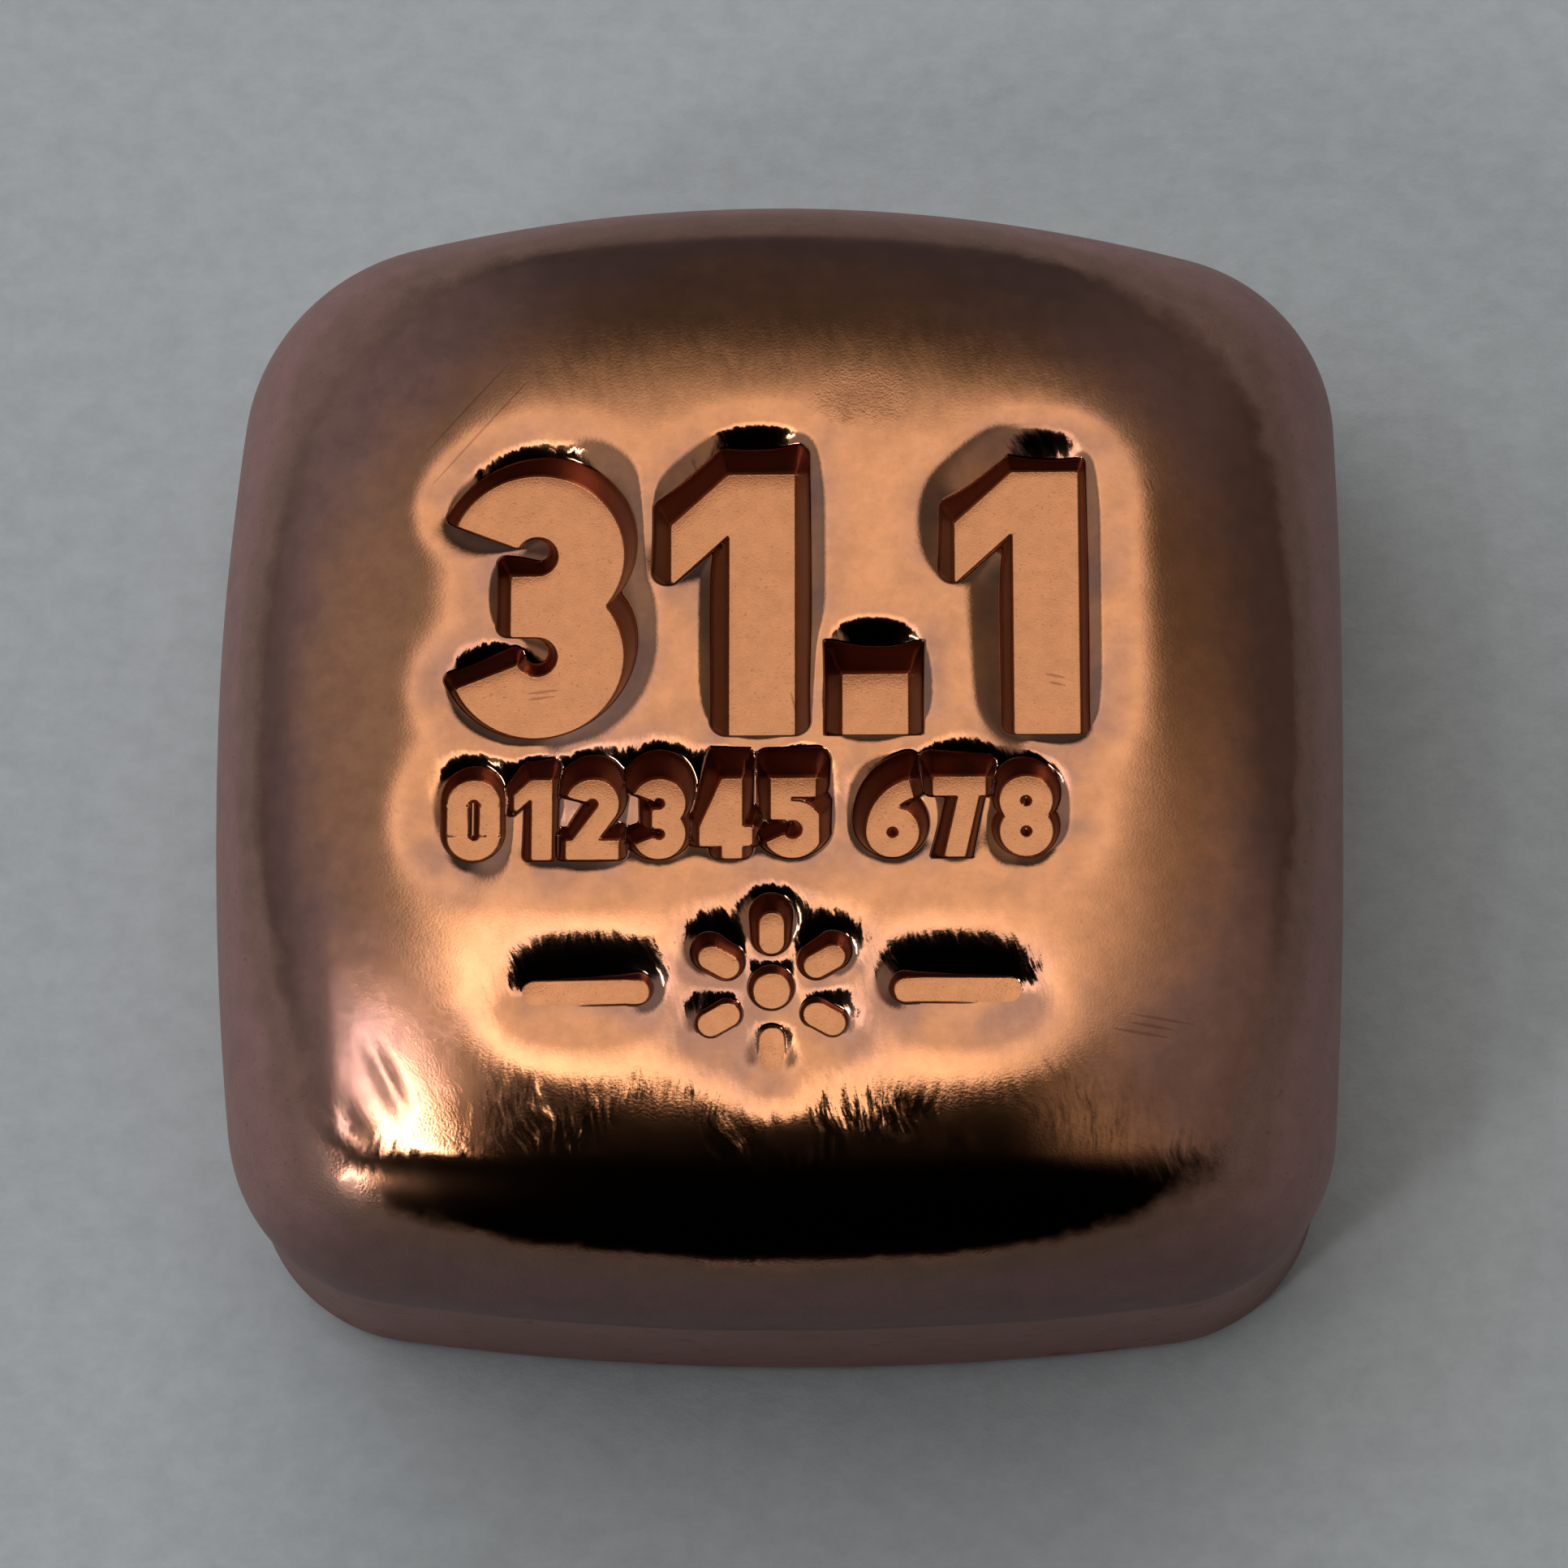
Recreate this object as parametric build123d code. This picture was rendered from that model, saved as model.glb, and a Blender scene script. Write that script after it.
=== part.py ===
from build123d import *
from math import asin, cos, hypot, radians, tan
import os

# A copper ingot of one troy ounce. It was poured in an open mould, so its lower wall has the draft
# of the mould, and above the rim the free surface of the melt rolls over into a low crown. A mark
# was then struck in the crown: plain numerals with the mass in grams, and an ornament below them.
# Sizes are in millimetres and angles in degrees. X runs along the width, Y along the length from
# the front to the back, and Z is up. The origin is on the base, under the middle of the ingot.

# Outline at the rim, where the ingot is widest. A bow is how far a side swells at its middle.
WIDTH = 21.5
LENGTH = 22.1
LEFT_BOW = 0.8
RIGHT_BOW = 0.3
FRONT_BOW = 1.05
BACK_BOW = 1.5
FRONT_LEFT_CORNER = 3.6
FRONT_RIGHT_CORNER = 3.5
BACK_LEFT_CORNER = 4.2
BACK_RIGHT_CORNER = 3.7

# Wall that the mould shaped, from the rim down to the base
RIM_HEIGHT = 4.38
WALL_DRAFT = 4.5
BASE_EDGE_RADIUS = 0.5

# Free surface above the rim. The land is the upright stretch left at the farthest corner.
RIM_LAND = 0.15
SHOULDER_RADIUS = 3.1
CROWN_RADIUS = 34.0

# The struck mark, on one flat that the punch left a little deeper at the back. The mark is placed
# by the middle of its ornament, and its depth is measured there from the height of the crown.
MARK_DEPTH = 0.87
MARK_DRAFT = 25.0
MARK_LEAN = 3.2
MARK_TURN = 0.8
MARK_FROM_FRONT = 5.45

# Ornament: a rosette of petals round a bead, with a bar on each side
BEAD_RADIUS = 0.36
PETAL_COUNT = 6
PETAL_WIDTH = 0.5
PETAL_LENGTH = 0.85
PETAL_GAP = 0.35
BAR_WIDTH = 0.5
BAR_LENGTH = 2.4
BAR_GAP = 0.7

# Numerals: the foot and the left end are measured from the middle of the ornament
NUMERAL_HEIGHT = 5.37
NUMERAL_STROKE = 1.28
NUMERAL_GAP = 0.85
NUMERAL_FOOT = 5.05
NUMERAL_LEFT = 6.1
FLAG_REACH = 1.1
FLAG_DROP = 1.05
BOWL_OPENING = 112.0


def side_disc(reach, half_span, bow, direction):
    """The disc whose edge is one bowed side, at this reach from the middle."""
    radius = (half_span**2 + bow**2) / (2 * bow)
    seam_away = Rot(0, 0, 180)
    return Rot(0, 0, direction) * Pos(reach - radius, 0) * seam_away * Circle(radius)


def rounded(outline, x_sign, y_sign, radius):
    """The outline with the corner in this quarter rounded."""
    quarter_end = Vector(x_sign * WIDTH / 2, y_sign * LENGTH / 2)
    corner = outline.vertices().sort_by_distance(quarter_end)[0]
    return fillet(corner, radius)


def rim_outline():
    """The rim from above: four bowed sides that run smoothly into round corners."""
    right = side_disc(WIDTH / 2, LENGTH / 2, RIGHT_BOW, 0)
    back = side_disc(LENGTH / 2, WIDTH / 2, BACK_BOW, 90)
    left = side_disc(WIDTH / 2, LENGTH / 2, LEFT_BOW, 180)
    front = side_disc(LENGTH / 2, WIDTH / 2, FRONT_BOW, 270)
    outline = right & back & left & front
    outline = rounded(outline, -1, -1, FRONT_LEFT_CORNER)
    outline = rounded(outline, 1, -1, FRONT_RIGHT_CORNER)
    outline = rounded(outline, -1, 1, BACK_LEFT_CORNER)
    return rounded(outline, 1, 1, BACK_RIGHT_CORNER)


def shoulder_radius():
    """The roll of the shoulder, which stays inside the tightest corner that it goes round."""
    tightest = min(FRONT_LEFT_CORNER, FRONT_RIGHT_CORNER, BACK_LEFT_CORNER, BACK_RIGHT_CORNER)
    return min(SHOULDER_RADIUS, tightest - RIM_LAND)


def crown_top(outline):
    """Height of the crown's middle, so that the shoulder ends one land above the rim."""
    middles = [edge @ 0.5 for edge in outline.edges()]
    farthest = max(hypot(point.X, point.Y) for point in middles)
    slope = asin(farthest / CROWN_RADIUS)
    crown_drop = CROWN_RADIUS * (1 - cos(slope))
    shoulder_drop = shoulder_radius() * tan((radians(90) - slope) / 2)
    return RIM_HEIGHT + RIM_LAND + shoulder_drop + crown_drop


def mould_wall(outline):
    """The lower body, narrower towards the base, with a rounded base edge."""
    body = extrude(Pos(0, 0, RIM_HEIGHT) * outline, -RIM_HEIGHT, taper=WALL_DRAFT)
    base = body.faces().sort_by(Axis.Z)[0]
    return fillet(base.edges(), BASE_EDGE_RADIUS)


def punch_height():
    """Height of the punch's shapes, enough to stand out of the crown all over the mark."""
    back = NUMERAL_FOOT + NUMERAL_HEIGHT
    return MARK_DEPTH + back * tan(radians(MARK_LEAN)) + NUMERAL_STROKE / 4


def drafted(floor):
    """A punch shape over this floor, with sloping walls."""
    return extrude(floor, punch_height(), taper=-MARK_DRAFT)


def ornament():
    """Punch shapes of the ornament."""
    shapes = [drafted(Circle(BEAD_RADIUS))]
    petal_middle = BEAD_RADIUS + PETAL_GAP + PETAL_LENGTH / 2
    for number in range(PETAL_COUNT):
        turn = 90 + number * 360 / PETAL_COUNT
        petal = Rot(0, 0, turn) * Pos(petal_middle, 0) * SlotOverall(PETAL_LENGTH, PETAL_WIDTH)
        shapes.append(drafted(petal))
    bar_middle = petal_middle + PETAL_LENGTH / 2 + BAR_GAP + BAR_LENGTH / 2
    for side in (-1, 1):
        shapes.append(drafted(Pos(side * bar_middle, 0) * SlotOverall(BAR_LENGTH, BAR_WIDTH)))
    return shapes


def bowl_radius():
    """Radius of the middle line of each of the two bowls of the three."""
    return (NUMERAL_HEIGHT - NUMERAL_STROKE) / 4


def bowl(middle_y, first_angle):
    """One bowl of the three: a drafted stroke round an axis, open to the left.

    Where its inner wall would close to a point, it ends in a small flat peak."""
    height = punch_height()
    lean = tan(radians(MARK_DRAFT))
    inner = max(bowl_radius() - NUMERAL_STROKE / 2, 0)
    outer = bowl_radius() + NUMERAL_STROKE / 2
    section = [(inner, 0), (outer, 0), (outer + height * lean, height)]
    peak = max(inner - height * lean, inner / 4)
    peak_height = (inner - peak) / lean
    if peak_height < height:
        section += [(0, height), (0, peak_height)]
    section.append((peak, peak_height))
    stroke = revolve(Plane.XZ * make_face(Polyline(*section, close=True)), Axis.Z, 360 - BOWL_OPENING)
    return Pos(outer, middle_y) * Rot(0, 0, first_angle) * stroke


def three():
    """Punch shapes of a three, and its width."""
    width = 2 * bowl_radius() + NUMERAL_STROKE
    lower = bowl(NUMERAL_STROKE / 2 + bowl_radius(), BOWL_OPENING - 270)
    upper = bowl(NUMERAL_HEIGHT - NUMERAL_STROKE / 2 - bowl_radius(), -90)
    waist = Pos(width / 2, NUMERAL_HEIGHT / 2) * Rectangle(bowl_radius(), NUMERAL_STROKE)
    return [lower, upper, drafted(waist)], width


def one():
    """Punch shape of a one with a sloping flag, and its width."""
    width = FLAG_REACH + NUMERAL_STROKE
    tip = NUMERAL_HEIGHT - FLAG_DROP
    outline = Polyline(
        (width, 0), (width, NUMERAL_HEIGHT), (FLAG_REACH, NUMERAL_HEIGHT), (0, tip),
        (0, tip - NUMERAL_STROKE), (FLAG_REACH, NUMERAL_HEIGHT - NUMERAL_STROKE), (FLAG_REACH, 0), close=True)
    return [drafted(make_face(outline))], width


def point():
    """Punch shape of the decimal point, and its width."""
    square = Rectangle(NUMERAL_STROKE, NUMERAL_STROKE)
    return [drafted(Pos(NUMERAL_STROKE / 2, NUMERAL_STROKE / 2) * square)], NUMERAL_STROKE


def numerals():
    """Punch shapes of the mass in grams, 31.1, in a row."""
    shapes = []
    left = -NUMERAL_LEFT
    for figure in (three, one, point, one):
        strokes, width = figure()
        shapes += [Pos(left, NUMERAL_FOOT) * stroke for stroke in strokes]
        left += width + NUMERAL_GAP
    return shapes


def struck(body, top):
    """The body with the mark struck in its crown."""
    middle = MARK_FROM_FRONT - LENGTH / 2
    placed = Pos(0, middle, top - MARK_DEPTH) * Rot(-MARK_LEAN, 0, 0) * Rot(0, 0, MARK_TURN)
    for shape in ornament() + numerals():
        body = body - placed * shape
    return body


def free_surface(outline, top):
    """The upper body: a low crown that rolls over a shoulder to the rim, with the mark in it."""
    column = extrude(Pos(0, 0, RIM_HEIGHT) * outline, top - RIM_HEIGHT)
    seam_below = Rot(0, 90, 0)
    ball = Pos(0, 0, top - CROWN_RADIUS) * seam_below * Sphere(CROWN_RADIUS)
    body = column & ball
    crown = body.faces().filter_by(GeomType.SPHERE)[0]
    body = fillet(crown.edges(), shoulder_radius())
    return struck(body, top)


rim = rim_outline()
crown_height = crown_top(rim)
ingot = mould_wall(rim) + free_surface(rim, crown_height)

os.makedirs("parts", exist_ok=True)
export_step(ingot, "parts/ingot.step")
print(f"height {crown_height:.2f} mm, volume {ingot.volume:.0f} cubic mm")
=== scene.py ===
from collections import namedtuple
from math import atan2, cos, degrees, hypot, pi, radians, sin, sqrt, tan
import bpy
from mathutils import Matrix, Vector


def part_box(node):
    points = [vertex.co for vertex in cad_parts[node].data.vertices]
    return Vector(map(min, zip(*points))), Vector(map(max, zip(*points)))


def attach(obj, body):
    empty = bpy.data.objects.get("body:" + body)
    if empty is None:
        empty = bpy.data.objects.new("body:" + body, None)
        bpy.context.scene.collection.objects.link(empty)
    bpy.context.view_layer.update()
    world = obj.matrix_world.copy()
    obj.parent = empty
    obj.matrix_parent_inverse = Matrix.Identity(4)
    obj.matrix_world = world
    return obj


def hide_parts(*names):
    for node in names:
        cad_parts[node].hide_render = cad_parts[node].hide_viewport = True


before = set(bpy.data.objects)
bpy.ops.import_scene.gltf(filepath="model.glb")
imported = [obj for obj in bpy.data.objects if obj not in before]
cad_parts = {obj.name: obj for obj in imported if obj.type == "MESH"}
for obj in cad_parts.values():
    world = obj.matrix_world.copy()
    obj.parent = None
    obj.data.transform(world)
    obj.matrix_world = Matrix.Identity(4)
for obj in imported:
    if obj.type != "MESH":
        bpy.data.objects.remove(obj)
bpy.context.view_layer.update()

from types import SimpleNamespace

import bpy
import numpy as np
from bpy.props import FloatProperty, FloatVectorProperty, IntProperty, PointerProperty
from bpy.types import Operator, Panel, PropertyGroup
from mathutils import Matrix, Vector
from mathutils.geometry import delaunay_2d_cdt

bl_info = {
    "name": "Copper Ingot",
    "version": (1, 0, 0),
    "blender": (4, 5, 0),
    "location": "3D View > Sidebar > Ingot",
    "description": "Makes a small cast copper ingot with a struck mark, and a studio for it",
    "category": "Add Mesh",
}

MM = 0.001
INGOT_LOW, INGOT_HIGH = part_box("ingot")
FRONT = INGOT_LOW[1] / MM
TOP = INGOT_HIGH[2] / MM


# Settings

def length_setting(label, words, millimetres):
    """A size that the panel shows in the scene's own unit."""
    return FloatProperty(name=label, description=words, default=millimetres * MM, unit="LENGTH", precision=5)


def angle_setting(label, words, turn):
    """An angle, given here in degrees."""
    return FloatProperty(name=label, description=words, default=radians(turn), subtype="ANGLE")


def number_setting(label, words, value):
    """A plain factor."""
    return FloatProperty(name=label, description=words, default=value)


def colour_setting(label, words, colour):
    """A linear colour."""
    return FloatVectorProperty(name=label, description=words, default=colour, subtype="COLOR", size=3,
                               min=0.0, max=1.0)


class IngotBodySettings(PropertyGroup):
    """Sizes of the cast body."""
    width: length_setting("Width", "Across the rim", (INGOT_HIGH[0] - INGOT_LOW[0]) / MM)
    length: length_setting("Length", "Front to back at the rim", (INGOT_HIGH[1] - INGOT_LOW[1]) / MM)
    height: length_setting("Height", "From the base to the crown", (INGOT_HIGH[2] - INGOT_LOW[2]) / MM)
    left_bow: length_setting("Left bow", "Swell of the left side", 0.8)
    right_bow: length_setting("Right bow", "Swell of the right side", 0.3)
    front_bow: length_setting("Front bow", "Swell of the front side", 1.05)
    back_bow: length_setting("Back bow", "Swell of the back side", 1.5)
    front_left_corner: length_setting("Front left corner", "Radius at the rim", 3.6)
    front_right_corner: length_setting("Front right corner", "Radius at the rim", 3.5)
    back_left_corner: length_setting("Back left corner", "Radius at the rim", 4.2)
    back_right_corner: length_setting("Back right corner", "Radius at the rim", 3.7)
    rim_height: length_setting("Rim height", "Where the mould ended", 4.38)
    wall_draft: angle_setting("Wall draft", "Lean of the mould's wall", 4.5)
    base_edge_radius: length_setting("Base edge radius", "Round edge round the base", 0.5)
    shoulder_radius: length_setting("Shoulder radius", "Roll of the free surface", 3.1)
    crown_radius: length_setting("Crown radius", "Radius of the low crown", 34.0)
    seam_ledge: length_setting("Seam ledge", "How far the rim stands over the wall", 0.07)
    seam_wander: length_setting("Seam wander", "How far the ledge wanders up and down", 0.07)
    swell: length_setting("Swell", "Height of the uneven swells that pouring left", 0.0013)
    front_swell: number_setting("Front swell", "How many times higher they are at the front", 5.0)
    fold_count: IntProperty(name="Folds", description="Cooling folds at the front left", default=3, min=0)
    fold_height: length_setting("Fold height", "Height of a cooling fold", 0.022)
    fold_width: length_setting("Fold width", "Half the width of a cooling fold", 0.2)


class IngotMarkSettings(PropertyGroup):
    """Sizes of the struck mark."""
    depth: length_setting("Depth", "From the crown to the floor of the ornament", 0.87)
    draft: angle_setting("Draft", "Lean of the walls of the mark", 15.5)
    strike_lean: angle_setting("Strike lean", "How much deeper the punch went in at the back", 3.2)
    turn: angle_setting("Turn", "Turn of the mark on the ingot", 0.8)
    from_front: length_setting("Ornament from front", "Front edge to the ornament's middle", 5.45)
    large_height: length_setting("Large numerals", "Height of the large numerals", 5.37)
    large_stroke: length_setting("Large stroke", "Width of their strokes", 1.28)
    large_foot: length_setting("Large foot", "Foot of the large numerals from the ornament's middle", 5.05)
    large_gap: length_setting("Large gap", "Gap between the large numerals", 0.85)
    small_height: length_setting("Small numerals", "Height of the small numerals", 1.64)
    small_stroke: length_setting("Small stroke", "Width of their strokes", 0.42)
    small_foot: length_setting("Small foot", "Foot of the small numerals from the ornament's middle", 2.61)
    small_gap: length_setting("Small gap", "Gap between the small numerals", 0.22)
    small_space: length_setting("Small space", "Space between the two groups", 0.62)
    row_left: length_setting("Left end", "Left end of both rows from the ornament's middle", 6.1)
    bead_radius: length_setting("Bead radius", "Middle of the ornament", 0.36)
    petal_width: length_setting("Petal width", "Width of a petal and of a bar", 0.5)
    petal_length: length_setting("Petal length", "Length of a petal", 0.85)
    petal_gap: length_setting("Petal gap", "Gap between bead and petal", 0.35)
    bar_length: length_setting("Bar length", "Length of the bar on each side", 2.4)
    bar_gap: length_setting("Bar gap", "Gap between petals and bar", 0.7)
    petal_count: IntProperty(name="Petals", description="Number of petals", default=6, min=3)
    near_sink: length_setting("Near sink", "How far the copper is drawn down close to the strokes", 0.36)
    near_reach: length_setting("Near reach", "How far out that goes", 0.22)
    wide_sink: length_setting("Wide sink", "How far the whole of the mark is drawn down", 0.5)
    wide_reach: length_setting("Wide reach", "How far out that goes", 0.5)
    closed_sink: length_setting("Closed sink", "How much more where strokes enclose the copper", 1.7)
    back_sink: length_setting("Back sink", "How much further it goes behind the large numerals", 0.22)
    back_reach: length_setting("Back reach", "How far behind them that lies", 0.34)
    edge_round: length_setting("Edge round", "Rounding of the upper edges", 0.07)
    floor_round: length_setting("Floor round", "Rounding where the walls meet the floors", 0.05)


class IngotCopperSettings(PropertyGroup):
    """Colours of the copper, and how far below the crown's top they begin."""
    bright: colour_setting("Bright copper", "Clean copper of the crown", (0.62, 0.27, 0.13))
    struck: colour_setting("Struck copper", "Matte floors of the mark", (0.62, 0.262, 0.122))
    # The walls' dark red is painted shade: they are the same copper as the floors, darkened and reddened
    # where little light reaches. The colour is also used for real pits, scratches and nicks, and for the
    # painted shade at the seam.
    walls: colour_setting("Walls", "Dark red walls of the mark", (0.20, 0.06, 0.04))
    tarnished: colour_setting("Tarnished copper", "Brown film on the shoulder", (0.34, 0.175, 0.135))
    skin: colour_setting("Cast skin", "Dull mauve skin at the rim and wall", (0.30, 0.158, 0.142))
    scorched: colour_setting("Scorched copper", "Olive brown where the skin begins", (0.17, 0.095, 0.05))
    film_below: length_setting("Film below", "Where the brown film begins", 1.006)
    film_drop: length_setting("Film drop", "How much lower the film begins at the front", 1.2)
    skin_below: length_setting("Skin below", "Where the dull skin begins", 1.856)
    skin_drop: length_setting("Skin drop", "How much lower the skin begins at the front", 0.5)


class IngotStageSettings(PropertyGroup):
    """The floor, the light and the camera."""
    floor_colour: colour_setting("Floor colour", "Pale paper", (0.48, 0.505, 0.52))
    floor_size: length_setting("Floor size", "Side of the floor", 1200.0)
    overhead: number_setting("Overhead light", "Strength of the panel overhead", 1.15)
    front_edge: number_setting("Front edge", "How much stronger the panel is at its front edge", 1.1)
    side_room: number_setting("Side room", "Strength of the pale room at the left", 0.42)
    small_light: number_setting("Small light", "Strength of the small white light at the front left", 16.0)
    soft_lamp: number_setting("Soft lamp", "Power of the soft lamp at the back left, in watts", 0.4)
    lamp_size: length_setting("Lamp size", "Side of the soft lamp", 300.0)
    lamp_distance: length_setting("Lamp distance", "From the ingot to the soft lamp", 400.0)
    middle_height: length_setting("Middle height", "Height at which the camera looks", 4.5)
    camera_distance: length_setting("Camera distance", "From the ingot's middle", 180.0)
    camera_lean: angle_setting("Camera lean", "How far in front of straight above", 18.0)
    camera_side: angle_setting("Camera side", "How far round to the right", 5.0)
    camera_roll: angle_setting("Camera roll", "Turn of the picture", -0.75)
    camera_scale: number_setting("Camera scale", "Pixels of the picture to a millimetre", 64.29)
    middle_column: number_setting("Middle column", "Pixel column that shows the ingot's middle", 961.7)
    middle_row: number_setting("Middle row", "Pixel row that shows the ingot's middle", 949.8)
    picture_size: IntProperty(name="Picture size", description="Pixels on a side", default=1932)


def in_millimetres(group):
    """The values of a group of settings, with every length in millimetres."""
    values = SimpleNamespace()
    for prop in group.bl_rna.properties:
        if prop.identifier in ("rna_type", "name"):
            continue
        value = getattr(group, prop.identifier)
        if getattr(prop, "unit", "NONE") == "LENGTH":
            value = value / MM
        setattr(values, prop.identifier, value)
    return values


# The outline of the rim: four bowed sides and four round corners

def side_arcs(body):
    """Middle and radius of the circle of each side: right, back, left, front."""
    half_width = body.width / 2
    half_length = body.length / 2
    plans = ((half_width, half_length, body.right_bow, 0), (half_length, half_width, body.back_bow, 90),
             (half_width, half_length, body.left_bow, 180), (half_length, half_width, body.front_bow, 270))
    arcs = []
    for reach, half_span, bow, direction in plans:
        radius = (half_span**2 + bow**2) / (2 * bow)
        heading = np.array([cos(radians(direction)), sin(radians(direction))])
        arcs.append((heading * (reach - radius), radius))
    return arcs


def corner_middle(first, second, radius):
    """Middle of the round corner that lies inside both side circles and touches them."""
    (a, a_radius), (b, b_radius) = first, second
    reach_a = a_radius - radius
    reach_b = b_radius - radius
    span = np.linalg.norm(b - a)
    along = (reach_a**2 - reach_b**2 + span**2) / (2 * span)
    across = sqrt(reach_a**2 - along**2)
    unit = (b - a) / span
    normal = np.array([-unit[1], unit[0]])
    choices = (a + unit * along + normal * across, a + unit * along - normal * across)
    outward = -(a + b)
    return max(choices, key=lambda choice: choice @ outward)


def heading_of(vector):
    """Direction of a flat vector."""
    return atan2(vector[1], vector[0])


def rim_points(body, spacing):
    """Points round the rim, counter-clockwise, with the outward direction at each."""
    sides = side_arcs(body)
    radii = (body.back_right_corner, body.back_left_corner, body.front_left_corner, body.front_right_corner)
    corners = [(corner_middle(sides[i], sides[(i + 1) % 4], radii[i]), radii[i]) for i in range(4)]
    points = []
    normals = []
    for i in range(4):
        middle, radius = sides[i]
        corner, corner_radius = corners[i]
        start = heading_of(corners[i - 1][0] - middle)
        end = heading_of(corner - middle)
        next_start = heading_of(corner - sides[(i + 1) % 4][0])
        arcs = ((middle, radius, start, end), (corner, corner_radius, end, next_start))
        for centre, reach, first, last in arcs:
            sweep = (last - first) % (2 * pi)
            count = max(int(round(sweep * reach / spacing)), 4)
            angles = first + sweep * np.arange(count) / count
            direction = np.stack([np.cos(angles), np.sin(angles)], axis=1)
            points.append(centre + direction * reach)
            normals.append(direction)
    return np.vstack(points), np.vstack(normals)


# Plain numerals, as distances from the edges of their strokes. The flag of the one reaches out by a
# share of its height, and falls by a share of that.

FLAG_REACH = 0.205
FLAG_FALL = 0.955


def stroke_frame(x, y, start, end):
    """Places along and across a stroke, from its middle."""
    length = max(hypot(end[0] - start[0], end[1] - start[1]), 1e-9)
    ux = (end[0] - start[0]) / length
    uy = (end[1] - start[1]) / length
    from_x = x - (start[0] + end[0]) / 2
    from_y = y - (start[1] + end[1]) / 2
    return from_x * ux + from_y * uy, from_y * ux - from_x * uy


def flat_bar(x, y, start, end, half):
    """Distance from a straight stroke with square ends."""
    along, across = stroke_frame(x, y, start, end)
    past = np.abs(along) - hypot(end[0] - start[0], end[1] - start[1]) / 2
    beside = np.abs(across) - half
    outside = np.hypot(np.maximum(past, 0), np.maximum(beside, 0))
    return outside + np.minimum(np.maximum(past, beside), 0)


def round_bar(x, y, start, end, half):
    """Distance from a straight stroke with round ends."""
    along, across = stroke_frame(x, y, start, end)
    past = np.abs(along) - hypot(end[0] - start[0], end[1] - start[1]) / 2
    return np.hypot(np.maximum(past, 0), across) - half


def bend(x, y, middle, radius, start, end, half):
    """Distance from a stroke along an arc, from one angle on to the next, with square ends."""
    centre_angle = radians((start + end) / 2)
    half_sweep = abs(radians(end - start)) / 2
    from_x = x - middle[0]
    from_y = y - middle[1]
    reach = np.hypot(from_x, from_y)
    beside = np.abs(reach - radius) - half
    if half_sweep >= pi:
        return beside
    turned = np.arctan2(from_y * cos(centre_angle) - from_x * sin(centre_angle),
                        from_x * cos(centre_angle) + from_y * sin(centre_angle))
    past = np.abs(turned) - half_sweep
    past_end = reach * np.sin(np.clip(past, -pi / 2, pi / 2))
    inside = np.maximum(beside, past_end)
    beside_end = np.maximum(np.abs(reach * np.cos(past) - radius) - half, 0)
    outside = np.hypot(beside_end, past_end)
    return np.where(past > 0, outside, np.where(beside > 0, beside, inside))


def outline_distance(x, y, corners):
    """Distance from a shape with straight sides, whose corners go counter-clockwise."""
    nearest = np.full(x.shape, np.inf)
    crossings = np.zeros(x.shape)
    for (ax, ay), (bx, by) in zip(corners, corners[1:] + corners[:1]):
        run_x = bx - ax
        run_y = by - ay
        share = np.clip(((x - ax) * run_x + (y - ay) * run_y) / (run_x**2 + run_y**2), 0, 1)
        nearest = np.minimum(nearest, np.hypot(x - ax - share * run_x, y - ay - share * run_y))
        if run_y != 0:
            spans = (ay <= y) != (by <= y)
            crossings = crossings + (spans & (x < ax + (y - ay) * run_x / run_y))
    return np.where(crossings % 2 == 1, -nearest, nearest)


def numeral_width(figure, height, stroke):
    """Width of one numeral."""
    if figure == ".":
        return stroke
    if figure == "1":
        return height * FLAG_REACH + stroke
    return (height - stroke) / 2 + stroke


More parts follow.
